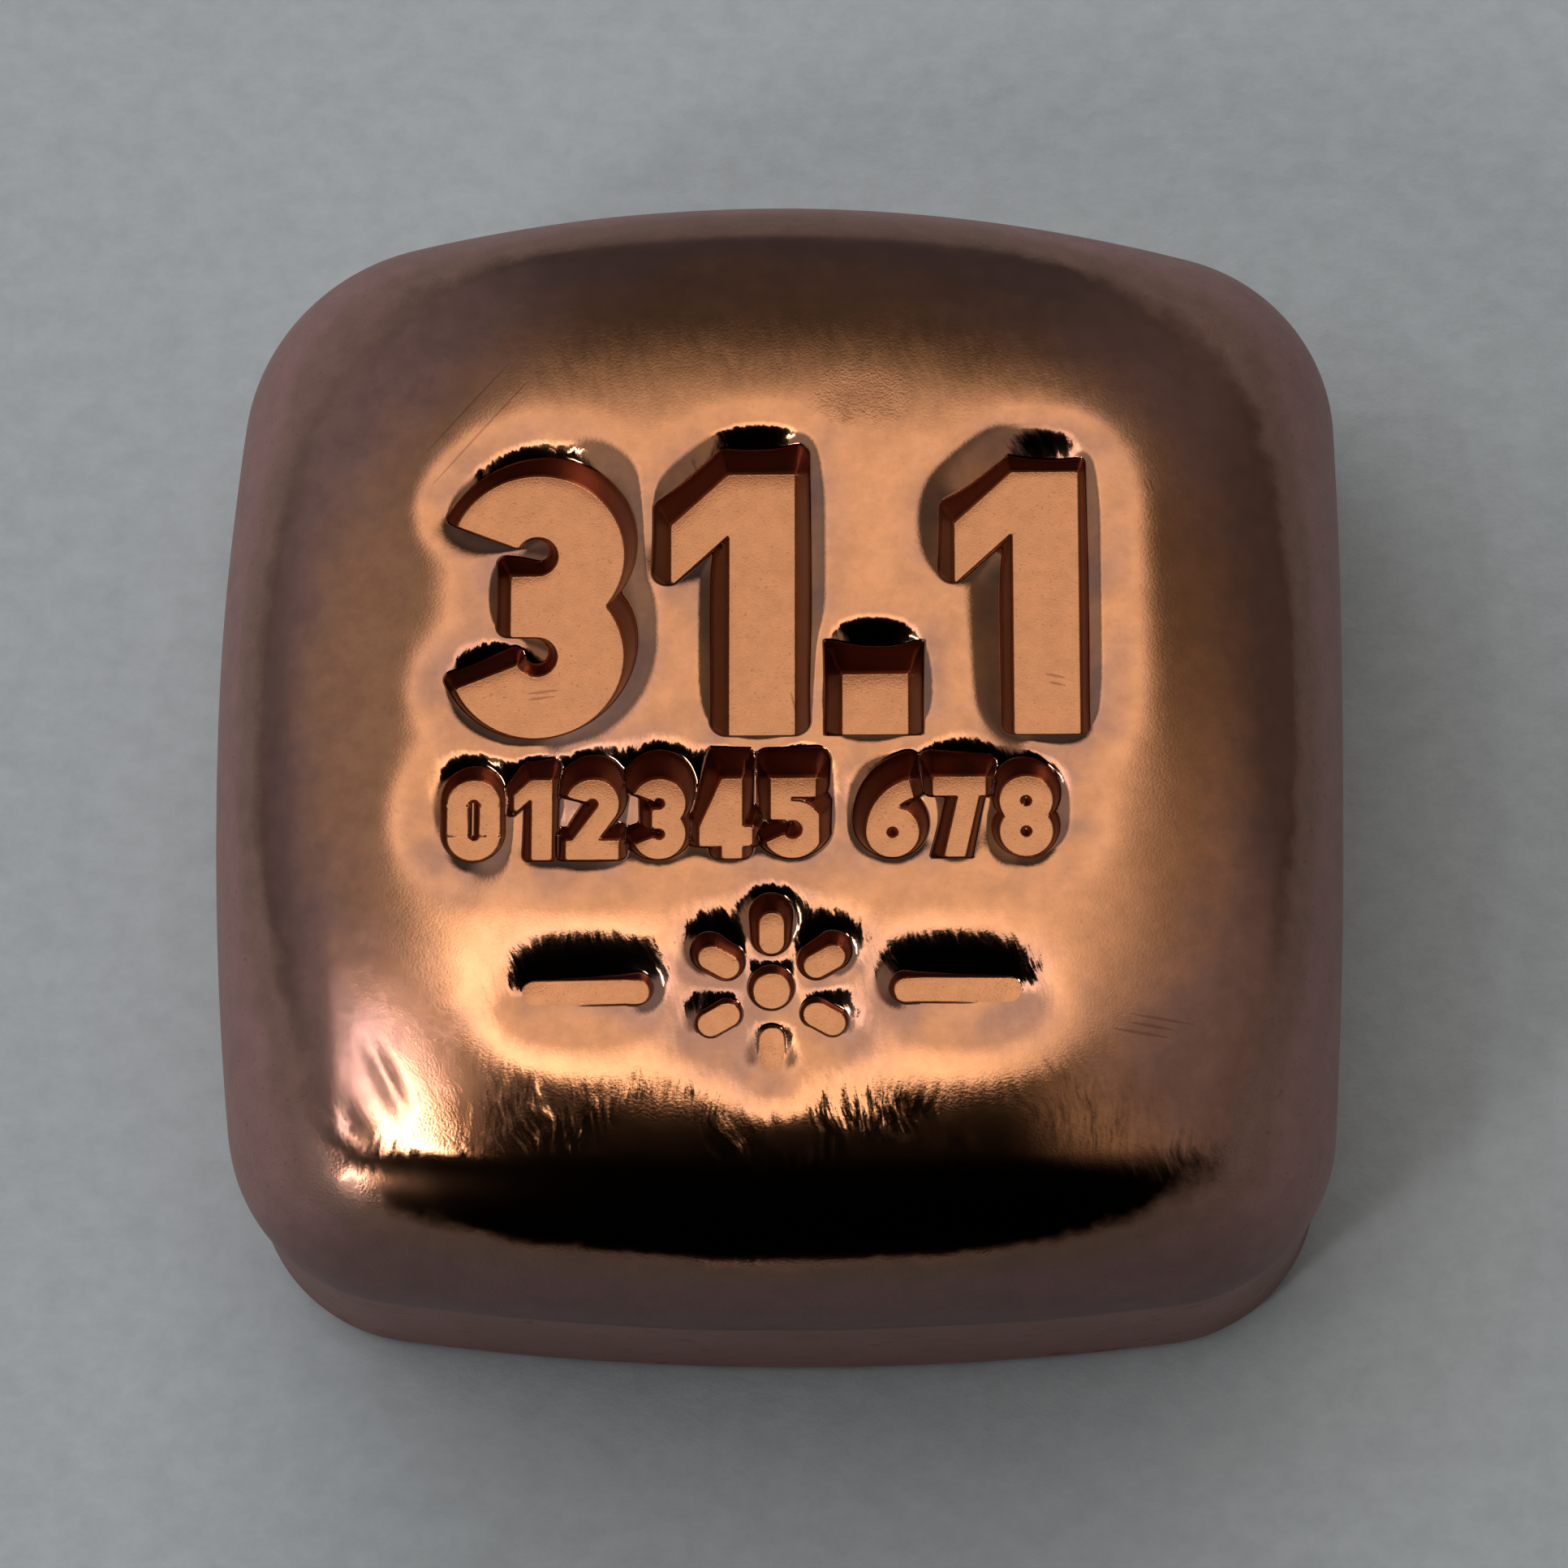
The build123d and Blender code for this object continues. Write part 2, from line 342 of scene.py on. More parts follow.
def numeral(x, y, figure, height, stroke):
    """Distance from one plain numeral whose lower left end is at the origin."""
    half = stroke / 2
    bowl = (height - stroke) / 4
    width = numeral_width(figure, height, stroke)
    middle = width / 2
    top = height - half
    low = (middle, half + bowl)
    high = (middle, top - bowl)

    def bar(start, end):
        """A straight stroke of this numeral."""
        return flat_bar(x, y, start, end, half)

    def arc(centre, radius, start, end):
        """A round stroke of this numeral, between two angles in degrees."""
        return bend(x, y, centre, radius, start, end, half)

    if figure == "0":
        left = bar((half, low[1]), (half, high[1]))
        right = bar((width - half, low[1]), (width - half, high[1]))
        parts = [arc(high, bowl, 0, 180), arc(low, bowl, 180, 360), left, right]
    elif figure == "1":
        flag = width - stroke
        tip = height - flag * FLAG_FALL
        corners = ((width, 0), (width, height), (flag, height), (0, tip), (0, tip - stroke),
                   (flag, height - stroke), (flag, 0))
        return outline_distance(x, y, corners)
    elif figure == "2":
        knee_turn, tip_turn = -38, 165
        knee = (middle + bowl * cos(radians(knee_turn)), high[1] + bowl * sin(radians(knee_turn)))
        slope_foot = (half * 1.15, half)
        parts = [arc(high, bowl, knee_turn, tip_turn), round_bar(x, y, knee, slope_foot, half),
                 bar((0, half), (width, half))]
    elif figure == "3":
        tip_turn = 158
        waist = bar((middle - bowl / 2, height / 2), (middle + bowl / 2, height / 2))
        parts = [arc(high, bowl, -90, tip_turn), arc(low, bowl, -tip_turn, 90), waist]
    elif figure == "4":
        stem = width - stroke * 0.95
        level = height * 0.28
        slope_foot, slope_half = (half * 0.6, level), half * 0.9
        parts = [bar((stem, 0), (stem, height)), bar((0, level), (width, level)),
                 round_bar(x, y, (stem, height), slope_foot, slope_half)]
    elif figure == "5":
        top_left, top_right = half * 0.4, width * 0.94
        stem, stem_foot = half * 1.4, height * 0.47
        belly = (height - stroke) * 0.31
        low_tip, high_tip = -155, 128
        parts = [bar((top_left, top), (top_right, top)), bar((stem, height), (stem, stem_foot)),
                 arc((middle, half + belly), belly, low_tip, high_tip)]
    elif figure == "6":
        tip = width * 0.86
        back = height - stroke - bowl
        tip_turn = degrees(np.arccos(np.clip((tip - half - back) / back, -1, 1)))
        parts = [arc(low, bowl, 0, 360), arc((half + back, low[1]), back, tip_turn, 180)]
    elif figure == "7":
        slope_top, slope_foot = width - half * 1.2, width * 0.32
        parts = [bar((0, top), (width, top)), bar((slope_top, height), (slope_foot, -stroke))]
    elif figure == "8":
        parts = [arc(high, bowl, 0, 360), arc(low, bowl, 0, 360)]
    else:
        parts = [np.maximum(np.abs(x - half), np.abs(y - half)) - half]
    box_x = np.abs(x - middle) - middle
    box_y = np.abs(y - height / 2) - height / 2
    return np.maximum.reduce([np.minimum.reduce(parts), box_x, box_y])


def row_of_numerals(x, y, figures, left, foot, height, stroke, gap, space):
    """Distance from a row of numerals."""
    near = np.full(x.shape, np.inf)
    for figure in figures:
        if figure == " ":
            left = left + space
            continue
        near = np.minimum(near, numeral(x - left, y - foot, figure, height, stroke))
        left = left + numeral_width(figure, height, stroke) + gap
    return near


# Node trees

class Value:
    """A value in a node tree. Arithmetic with a number there adds the nodes for it."""

    def __init__(self, tree, socket):
        self.tree = tree
        self.socket = socket

    def __add__(self, other):
        return maths("ADD", self, other)

    def __sub__(self, other):
        return maths("SUBTRACT", self, other)

    def __rsub__(self, other):
        return maths("SUBTRACT", other, self)

    def __mul__(self, other):
        return maths("MULTIPLY", self, other)

    def __truediv__(self, other):
        return maths("DIVIDE", self, other)

    def __rtruediv__(self, other):
        return maths("DIVIDE", other, self)

    def __abs__(self):
        return maths("ABSOLUTE", self)


def link(value, socket):
    """Joins a value to an input."""
    value.tree.links.new(value.socket, socket)


def add(tree, kind, inputs=None, **settings):
    """A new node with its settings, and its inputs set or joined by name or number."""
    node = tree.nodes.new(kind)
    for name, value in settings.items():
        setattr(node, name, value)
    for name, value in (inputs or {}).items():
        if isinstance(value, Value):
            link(value, node.inputs[name])
        else:
            node.inputs[name].default_value = value
    return node


def result_of(tree, kind, inputs=None, output=0, **settings):
    """One output of a new node."""
    return Value(tree, add(tree, kind, inputs, **settings).outputs[output])


def tree_of(*values):
    """The node tree that these values belong to."""
    return next(value.tree for value in values if isinstance(value, Value))


def maths(operation, first, second=0.0, clamp=False):
    """The result of one sum of numbers."""
    return result_of(tree_of(first, second), "ShaderNodeMath", {0: first, 1: second}, operation=operation,
                     use_clamp=clamp)


def larger(first, second):
    """The larger of two numbers."""
    return maths("MAXIMUM", first, second)


def vector_maths(operation, first, second, output="Vector"):
    """The result of one sum of vectors."""
    return result_of(tree_of(first, second), "ShaderNodeVectorMath", {0: first, 1: second}, output,
                     operation=operation)


def scaled(vector, factor):
    """A vector or colour made longer or brighter."""
    return result_of(tree_of(vector, factor), "ShaderNodeVectorMath", {0: vector, "Scale": factor},
                     operation="SCALE")


def vector_of(tree, **parts):
    """A vector from its X, Y and Z."""
    return result_of(tree, "ShaderNodeCombineXYZ", parts)


def axes_of(vector):
    """X, Y and Z of a vector."""
    node = add(vector.tree, "ShaderNodeSeparateXYZ", {0: vector})
    return [Value(vector.tree, part) for part in node.outputs]


def between(value, low, high, out_low=0.0, out_high=1.0):
    """A smooth step from one value to another."""
    return result_of(value.tree, "ShaderNodeMapRange", {"Value": value, "From Min": low, "From Max": high,
                     "To Min": out_low, "To Max": out_high}, interpolation_type="SMOOTHSTEP")


def blend_values(factor, first, second):
    """A mix of two numbers."""
    return result_of(tree_of(factor, first, second), "ShaderNodeMix",
                     {"Factor": factor, "A": first, "B": second}, data_type="FLOAT")


def blend_colours(factor, first, second):
    """A mix of two colours."""
    tree = tree_of(factor, first, second)
    node = add(tree, "ShaderNodeMix", {"Factor": factor}, data_type="RGBA")
    for name, value in (("A", first), ("B", second)):
        socket = [s for s in node.inputs if s.name == name and s.type == "RGBA"][0]
        if isinstance(value, Value):
            link(value, socket)
        else:
            socket.default_value = (*value, 1.0)
    return Value(tree, [s for s in node.outputs if s.type == "RGBA"][0])


def group_tree(kind, name, inputs, outputs):
    """A node group with named sockets. Gives the tree, its inputs and its outputs."""
    tree = bpy.data.node_groups.new(name, kind)
    for in_out, sockets in (("OUTPUT", outputs), ("INPUT", inputs)):
        for label, socket_kind in sockets.items():
            tree.interface.new_socket(label, in_out=in_out, socket_type=f"NodeSocket{socket_kind}")
    given = {socket.name: Value(tree, socket) for socket in tree.nodes.new("NodeGroupInput").outputs}
    return tree, given, tree.nodes.new("NodeGroupOutput").inputs


# The ornament's centre lines, laid out by Geometry Nodes

def ornament_tree():
    """Centre lines of the petals and bars as edges, and the bead as a single point."""
    tree, given, result = group_tree(
        "GeometryNodeTree", "Ornament layout",
        {"Petal count": "Int", "Petal start": "Float", "Petal run": "Float", "Bar start": "Float",
         "Bar run": "Float", "Material": "Material"}, {"Geometry": "Geometry"})

    def strokes_on(points, run):
        """One stroke of this length at each point, heading away from the middle."""
        stroke = result_of(tree, "GeometryNodeMeshLine", {"Count": 2, "Offset": vector_of(tree, X=run)})
        place = result_of(tree, "GeometryNodeInputPosition")
        heading = result_of(tree, "FunctionNodeAlignRotationToVector", {"Vector": place}, axis="X")
        return result_of(tree, "GeometryNodeInstanceOnPoints",
                         {"Points": points, "Instance": stroke, "Rotation": heading})

    ring = result_of(tree, "GeometryNodeMeshCircle",
                     {"Vertices": given["Petal count"], "Radius": given["Petal start"]})
    quarter_turn = (0, 0, radians(90))
    turned = result_of(tree, "GeometryNodeTransform", {"Geometry": ring, "Rotation": quarter_turn})
    feet = result_of(tree, "GeometryNodeMeshLine",
                     {"Count": 2, "Start Location": vector_of(tree, X=given["Bar start"] * -1.0),
                      "Offset": vector_of(tree, X=given["Bar start"] * 2.0)})
    bead = result_of(tree, "GeometryNodeMeshLine", {"Count": 1})
    joined = add(tree, "GeometryNodeJoinGeometry")
    for part in (strokes_on(turned, given["Petal run"]), strokes_on(feet, given["Bar run"]), bead):
        link(part, joined.inputs[0])
    real = result_of(tree, "GeometryNodeRealizeInstances", {"Geometry": Value(tree, joined.outputs[0])})
    coated = result_of(tree, "GeometryNodeSetMaterial", {"Geometry": real, "Material": given["Material"]})
    link(coated, result["Geometry"])
    return tree


def ornament_lines(mark, material):
    """The two ends of each centre line of the ornament, and the place of the bead."""
    tree = ornament_tree()
    carrier = bpy.data.objects.new("Ornament layout", bpy.data.meshes.new("Ornament layout"))
    bpy.context.scene.collection.objects.link(carrier)
    modifier = carrier.modifiers.new("Layout", "NODES")
    modifier.node_group = tree
    petal_start = mark.bead_radius + mark.petal_gap
    values = {
        "Petal count": mark.petal_count,
        "Petal start": petal_start + mark.petal_width / 2,
        "Petal run": mark.petal_length - mark.petal_width,
        "Bar start": petal_start + mark.petal_length + mark.bar_gap + mark.petal_width / 2,
        "Bar run": mark.bar_length - mark.petal_width,
        "Material": material,
    }
    for item in tree.interface.items_tree:
        if item.in_out == "INPUT":
            modifier[item.identifier] = values[item.name]
    evaluated = carrier.evaluated_get(bpy.context.evaluated_depsgraph_get())
    laid = bpy.data.meshes.new_from_object(evaluated)
    places = [tuple(vertex.co.xy) for vertex in laid.vertices]
    ends = [tuple(places[index] for index in edge.vertices) for edge in laid.edges]
    used = {index for edge in laid.edges for index in edge.vertices}
    beads = [place for index, place in enumerate(places) if index not in used]
    bpy.data.objects.remove(carrier)
    bpy.data.meshes.remove(laid)
    bpy.data.node_groups.remove(tree)
    return ends, beads


# How fine the grids and the mesh are, in millimetres, and the boxes round the mark that the grids
# fill. Rows of points follow the mark's floors and upper edges at the distances given here, and the
# scattered points keep clear of them. Points nearer than the least gap are merged. Steps are counts.

RING_SPACING = 0.165
BASE_SPACING = 0.5
CROWN_SPACING = 0.12
TRACE_CELL = 0.055
TRACE_LOW, TRACE_HIGH = (-7.4, -8.0), (7.4, 6.2)
SINK_CELL = 0.06
SINK_LOW, SINK_HIGH = (-7.0, -8.0), (7.0, 6.0)
FLOOR_ROWS = (-0.035, 0.0, 0.035)
EDGE_ROWS = (-0.05, 0.0, 0.05, 0.12)
FLOOR_CLEARANCE = 0.08
EDGE_CLEARANCE = (-0.09, 0.16)
CROWN_LEAST_GAP, BASE_LEAST_GAP = 0.012, 0.001
EDGE_STEPS, WALL_STEPS, SHOULDER_STEPS = 10, 16, 30


# The surface of the ingot

class Surface:
    """Heights of the top, from the sizes of the body and of the mark, all in millimetres."""

    def __init__(self, body, mark, lines, beads):
        self.body = body
        self.mark = mark
        self.lines = lines
        self.beads = beads
        self.ornament_y = mark.from_front - body.length / 2
        self.folds = self.cooling_folds()
        self.pour_swells(count=14, shortest=3.0, longest=9.0)
        self.sink = self.sink_field()

    def pour_swells(self, count, shortest, longest):
        """Waves of many lengths and headings, the longer ones higher."""
        rng = np.random.default_rng(7)
        headings = rng.uniform(0, 2 * pi, count)
        waves = rng.uniform(shortest, longest, count)
        self.wave_x = 2 * pi * np.cos(headings) / waves
        self.wave_y = 2 * pi * np.sin(headings) / waves
        self.wave_z = 2 * pi * rng.uniform(-1, 1, count) / waves
        self.wave_start = rng.uniform(0, 2 * pi, count)
        self.wave_size = self.body.swell * waves / ((shortest + longest) / 2)

    def cooling_folds(self):
        """Middles and half runs of the folds at the front left corner."""
        body = self.body
        rng = np.random.default_rng(11)
        corner = np.array([-body.width, -body.length]) / 2
        first_place, next_place, disorder = 0.64, 0.05, 0.45
        lean, lean_disorder = radians(-64), 0.12
        longest, shortening = 1.15, 0.5
        folds = []
        for number in range(body.fold_count):
            middle = corner * (first_place + next_place * number) + rng.uniform(-disorder, disorder, 2)
            heading = lean + rng.uniform(-lean_disorder, lean_disorder)
            half = longest / (1 + number * shortening)
            folds.append((middle, np.array([cos(heading), sin(heading)]) * half))
        return folds

    def mark_frame(self, x, y):
        """Places in the mark's own turned frame, from the middle of the ornament."""
        turn = self.mark.turn
        from_y = y - self.ornament_y
        return x * cos(turn) + from_y * sin(turn), from_y * cos(turn) - x * sin(turn)

    def edge_distance(self, x, y):
        """Distance from the edge of the mark's floors, negative over a floor."""
        mark = self.mark
        x, y = self.mark_frame(x, y)
        small = row_of_numerals(x, y, "012345 678", -mark.row_left, mark.small_foot, mark.small_height,
                                mark.small_stroke, mark.small_gap, mark.small_space)
        near = np.minimum(self.large_distance(x, y), small)
        for start, end in self.lines:
            near = np.minimum(near, round_bar(x, y, start, end, mark.petal_width / 2))
        for bead in self.beads:
            near = np.minimum(near, np.hypot(x - bead[0], y - bead[1]) - mark.bead_radius)
        return near

    def large_distance(self, x, y):
        """Distance from the large numerals, in the mark's own frame."""
        mark = self.mark
        return row_of_numerals(x, y, "31.1", -mark.row_left, mark.large_foot, mark.large_height,
                               mark.large_stroke, mark.large_gap, 0)

    def sink_field(self):
        """How far the copper is drawn down round the mark, as a smooth field on a grid."""
        mark = self.mark
        margin = 4 * mark.wide_reach
        low = np.array(SINK_LOW) - margin
        counts = [int((high - start + 2 * margin) / SINK_CELL) for start, high in zip(SINK_LOW, SINK_HIGH)]
        xs = low[0] + SINK_CELL * np.arange(counts[0])
        ys = low[1] + SINK_CELL * np.arange(counts[1])
        grid_x, grid_y = np.meshgrid(xs, ys)
        covered = cell_cover(self.edge_distance(grid_x, grid_y))
        near = blurred(covered, mark.near_reach / SINK_CELL)
        wide = blurred(covered, mark.wide_reach / SINK_CELL)
        sink = mark.near_sink * near + mark.wide_sink * wide + mark.closed_sink * wide**4
        sink = sink + mark.back_sink * self.behind_numerals(grid_x, grid_y)
        return SmoothField(low, SINK_CELL, sink)

    def behind_numerals(self, grid_x, grid_y):
        """A strip just behind the large numerals, from nought to about one, faint at the first of them."""
        reach = self.mark.back_reach / SINK_CELL
        softness = reach * 0.75
        full_height = 1.9
        faint, faint_end, fade = 0.15, -4.5, 2.0
        large = cell_cover(self.large_distance(*self.mark_frame(grid_x, grid_y)))
        moved = np.roll(large, int(round(reach)), axis=0)
        strip = np.maximum(blurred(moved, softness) - blurred(large, softness), 0)
        return strip * np.clip((grid_x - faint_end) / fade, faint, 1) * full_height

    def floor_height(self, y):
        """Height of the flat that the floors of the mark lie on."""
        return self.body.height - self.mark.depth - tan(self.mark.strike_lean) * (y - self.ornament_y)

    def unevenness(self, x, y, z):
        """Small swells and folds that pouring left, never outwards near the rim."""
        body = self.body
        above_rim = np.clip((z - body.rim_height) / (body.height - body.rim_height), 0, 1)
        inward = np.clip(1 - 2 * above_rim, 0, 1)
        shape = np.zeros(np.shape(x))
        for i in range(len(self.wave_size)):
            phase = x * self.wave_x[i] + y * self.wave_y[i] + z * self.wave_z[i] + self.wave_start[i]
            shape = shape + self.wave_size[i] * (np.sin(phase) - inward)
        front_start = body.length * 0.2
        front_run = body.length * 0.22
        forward = np.clip((-y - front_start) / front_run, 0, 1)
        forward = forward**2 * (3 - 2 * forward) * above_rim
        shape = shape * (1 + (body.front_swell - 1) * forward)
        for middle, run in self.folds:
            along, across = stroke_frame(x, y, tuple(middle - run), tuple(middle + run))
            share = np.clip(1 - (along / hypot(run[0], run[1]))**2, 0, 1)
            ridge = np.exp(-(across / body.fold_width)**2)
            shape = shape - body.fold_height * share**2 * ridge * above_rim
        return shape

    def free_height(self, x, y):
        """Height of the copper round the mark, drawn down towards its edges."""
        body = self.body
        crown = body.height - body.crown_radius + np.sqrt(body.crown_radius**2 - x**2 - y**2)
        least_room = 0.25
        room = np.maximum(crown - self.floor_height(y), least_room)
        return crown - room * (1 - np.exp(-self.sink.at(x, y) / room)) + self.unevenness(x, y, crown)

    def wall_top(self, x, y):
        """Nought where a wall of the mark meets the free surface, negative inside the mark."""
        rise = self.free_height(x, y) - self.floor_height(y)
        return self.edge_distance(x, y) - rise * tan(self.mark.draft)

    def height(self, x, y):
        """Height of the finished top."""
        floor = self.floor_height(y)
        wall = floor + self.edge_distance(x, y) / tan(self.mark.draft)
        wall = -smooth_low(-wall, -floor, self.mark.floor_round)
        return smooth_low(self.free_height(x, y), wall, self.mark.edge_round)

    def normals(self, x, y):
        """Upward normals of the finished top."""
        step = 0.004
        slope_x = (self.height(x + step, y) - self.height(x - step, y)) / (2 * step)
        slope_y = (self.height(x, y + step) - self.height(x, y - step)) / (2 * step)
        normals = np.column_stack([-slope_x, -slope_y, np.ones(len(x))])
        return normals / np.linalg.norm(normals, axis=1)[:, None]


class SmoothField:
    """Values on a grid, read between its points with smooth cubic weights."""

    def __init__(self, low, cell, values):
        self.low = low
        self.cell = cell
        self.values = values

    def at(self, x, y):
        """The values at these places."""
        across = (np.asarray(x) - self.low[0]) / self.cell
        along = (np.asarray(y) - self.low[1]) / self.cell
        rows, cols = self.values.shape
        col = np.clip(np.floor(across).astype(int), 1, cols - 3)
        row = np.clip(np.floor(along).astype(int), 1, rows - 3)
        total = 0
        for i, weight_y in enumerate(cubic_weights(along - row)):
            for j, weight_x in enumerate(cubic_weights(across - col)):
                total = total + self.values[row + i - 1, col + j - 1] * weight_x * weight_y
        return total


def cubic_weights(share):
    """Weights of four grid points in a row, for a place this far past the second."""
    share = np.clip(share, 0, 1)
    return ((1 - share)**3 / 6, (3 * share**3 - 6 * share**2 + 4) / 6,
            (-3 * share**3 + 3 * share**2 + 3 * share + 1) / 6, share**3 / 6)


def cell_cover(distance):
    """The share of a grid cell that a shape covers, from its distance."""
    return np.clip(0.5 - distance / SINK_CELL, 0, 1)


def blurred(values, spread):
    """A grid of values blurred over this many cells."""
    reach = int(3 * spread)
    weights = np.exp(-0.5 * (np.arange(-reach, reach + 1) / spread)**2)
    weights = weights / weights.sum()
    for axis in (0, 1):
        values = np.apply_along_axis(lambda line: np.convolve(line, weights, mode="same"), axis, values)
    return values


def smooth_low(a, b, blend):
    """The lower of two heights, rounded where they meet."""
    overlap = np.maximum(blend - np.abs(a - b), 0) / blend
    return np.minimum(a, b) - overlap**2 * blend / 4


# The mesh

def crossing_share(level, first, second):
    """Where a level lies on grid lines, kept off their ends so that no two points fall together."""
    off_end = 0.04
    return np.clip((level - first) / (second - first), off_end, 1 - off_end)


def level_lines(values, xs, ys, level):
    """Points and joints of the line where a grid of values has this level."""
    above = values > level
    across = above[:, :-1] != above[:, 1:]
    along = above[:-1, :] != above[1:, :]
    across_id = np.full(across.shape, -1)
    across_id[across] = np.arange(across.sum())
    along_id = np.full(along.shape, -1)
    along_id[along] = np.arange(along.sum()) + across.sum()
    row, col = np.nonzero(across)
    share = crossing_share(level, values[row, col], values[row, col + 1])
    first = np.stack([xs[col] + share * (xs[col + 1] - xs[col]), ys[row]], axis=1)
    row, col = np.nonzero(along)
    share = crossing_share(level, values[row, col], values[row + 1, col])
    second = np.stack([xs[col], ys[row] + share * (ys[row + 1] - ys[row])], axis=1)
    low, high = across_id[:-1, :], across_id[1:, :]
    left, right = along_id[:, :-1], along_id[:, 1:]
    sides = np.stack([low, left, high, right], axis=-1).reshape(-1, 4)
    crossed = (sides >= 0).sum(axis=1)
    pairs = np.sort(sides[crossed == 2], axis=1)[:, 2:]
    saddles = sides[crossed == 4]
    return np.vstack([first, second]), np.vstack([pairs, saddles[:, :2], saddles[:, 2:]])


def fill(ring, inner, joints, apart):
    """Triangles over the inside of a ring, through the inner points.

    Gives the points, which of them are which of the ring's, and the triangles."""
    count = len(ring)
    points = [Vector(p) for p in ring] + [Vector(p) for p in inner]
    edges = [(i, (i + 1) % count) for i in range(count)]
    edges += [(int(a) + count, int(b) + count) for a, b in joints]
    places, _, faces, sources, _, _ = delaunay_2d_cdt(points, edges, [], 0, apart)
    ring_index = np.full(len(places), -1)
    for index, source in enumerate(sources):
        for original in source:
            if original < count:
                ring_index[index] = original

    def within(face):
        """Whether a face lies inside the ring, which may be a little hollow in places."""
        order = sorted(face, key=lambda index: ring_index[index])
        if ring_index[order[0]] < 0:
            return True
        a, b, c = (places[index] for index in order)
        return (b - a).cross(c - b) > 0

    return np.array([tuple(p) for p in places]), ring_index, [face for face in faces if within(face)]


def scatter(ring, spacing, seed, margin):
    """A staggered grid of points with a little disorder, inside a ring by this margin."""
    rng = np.random.default_rng(seed)
    low = ring.min(axis=0)
    high = ring.max(axis=0)
    row_height = 0.866
    disorder = 0.12
    xs = np.arange(low[0], high[0], spacing)
    ys = np.arange(low[1], high[1], spacing * row_height)
    grid_x, grid_y = np.meshgrid(xs, ys)
    grid_x = grid_x + (np.arange(len(ys)) % 2)[:, None] * spacing / 2
    points = np.stack([grid_x.ravel(), grid_y.ravel()], axis=1)
    points = points + rng.uniform(-disorder, disorder, points.shape) * spacing
    return points[inside_ring(points, ring, margin)]


def inside_ring(points, ring, margin):
    """Which points lie inside a convex counter-clockwise ring by this margin."""
    inside = np.ones(len(points), dtype=bool)
    for start, end in zip(ring, np.roll(ring, -1, axis=0)):
        edge = end - start
        span = max(np.linalg.norm(edge), 1e-9)
        away = (edge[0] * (points[:, 1] - start[1]) - edge[1] * (points[:, 0] - start[0])) / span
        inside &= away > margin
    return inside


FREE, STRUCK, CAST = range(3)


class MeshParts:
    """Points and faces of the ingot as they are made."""

    def __init__(self):
        self.rows = []
        self.faces = []
        self.kinds = []
        self.count = 0

    def places(self):
        """Every point so far."""
        return np.vstack(self.rows)

    def add_points(self, places):
        """Adds points and gives their numbers."""
        first = self.count
        self.rows.append(places)
        self.count += len(places)
        return np.arange(first, self.count)

    def add_faces(self, faces, kinds):
        """Adds faces, each with the number of its material."""
        self.faces += [tuple(face) for face in faces]
        self.kinds += list(kinds)

    def add_band(self, lower, upper, kind):
        """Quads between two rings, the lower one first, facing out."""
        quads = np.stack([lower, np.roll(lower, -1), np.roll(upper, -1), upper], axis=1)
        self.add_faces(quads, [kind] * len(quads))

    def add_fill(self, ring, flat, ring_index, heights):
        """Points of a filled ring: its own where they lie on it, and new ones elsewhere."""
        fresh = ring_index < 0
        index = np.where(fresh, 0, ring[np.maximum(ring_index, 0)])
        index[fresh] = self.add_points(np.column_stack([flat[fresh], heights[fresh]]))
        return index, fresh


def body_rings(body, surface, parts):
    """Rings from the base edge up to where the crown begins. Gives the first and last ring."""
    rim, outward = rim_points(body, RING_SPACING)
    flat_out = np.column_stack([outward, np.zeros(len(rim))])
    up = np.array([0.0, 0.0, 1.0])
    wander = seam_wander(rim) * body.seam_wander
    wander_reach = 0.5
    still_base = 1.5

    def ring(inset, z, normal):
        """A ring this far inside the rim, with its share of the seam's wander and of the swells."""
        near_rim = np.clip(1 - abs(z - body.rim_height) / wander_reach, 0, 1)
        place = np.column_stack([rim - outward * inset, z + wander * near_rim])
        return parts.add_points(swayed(surface, place, normal, np.clip(z / still_base, 0, 1)))

    draft = body.wall_draft
    radius = body.base_edge_radius
    edge_middle = (body.rim_height - radius) * tan(draft) + radius / cos(draft)
    rings = []
    for angle in np.linspace(pi / 2, draft, EDGE_STEPS):
        normal = flat_out * cos(angle) - up * sin(angle)
        rings.append(ring(edge_middle - radius * cos(angle), radius - radius * sin(angle), normal))
    below_seam, at_seam, above_seam = 0.06, 0.02, 0.01
    for z in np.linspace(radius - radius * sin(draft), body.rim_height - below_seam, WALL_STEPS)[1:]:
        rings.append(ring((body.rim_height - z) * tan(draft) + body.seam_ledge * 0.6, z, normal))
    rings.append(ring(body.seam_ledge, body.rim_height - at_seam, normal))
    cast_rings = len(rings)
    ledge_round = 0.012
    rings.append(ring(ledge_round, body.rim_height + above_seam, flat_out))
    balls = shoulder_balls(body, rim, outward)
    rings.append(ring(0.0, (body.rim_height + balls[:, 2]) / 2, flat_out))
    rings += shoulder_rings(body, surface, parts, balls, flat_out)
    for number, (lower, upper) in enumerate(zip(rings, rings[1:])):
        parts.add_band(lower, upper, CAST if number + 1 < cast_rings else FREE)
    return rings[0], rings[-1]


def swayed(surface, place, normal, share=1.0):
    """Places moved along their normals by a share of the swells and folds."""
    sway = surface.unevenness(place[:, 0], place[:, 1], place[:, 2])
    return place + normal * (sway * share)[:, None]


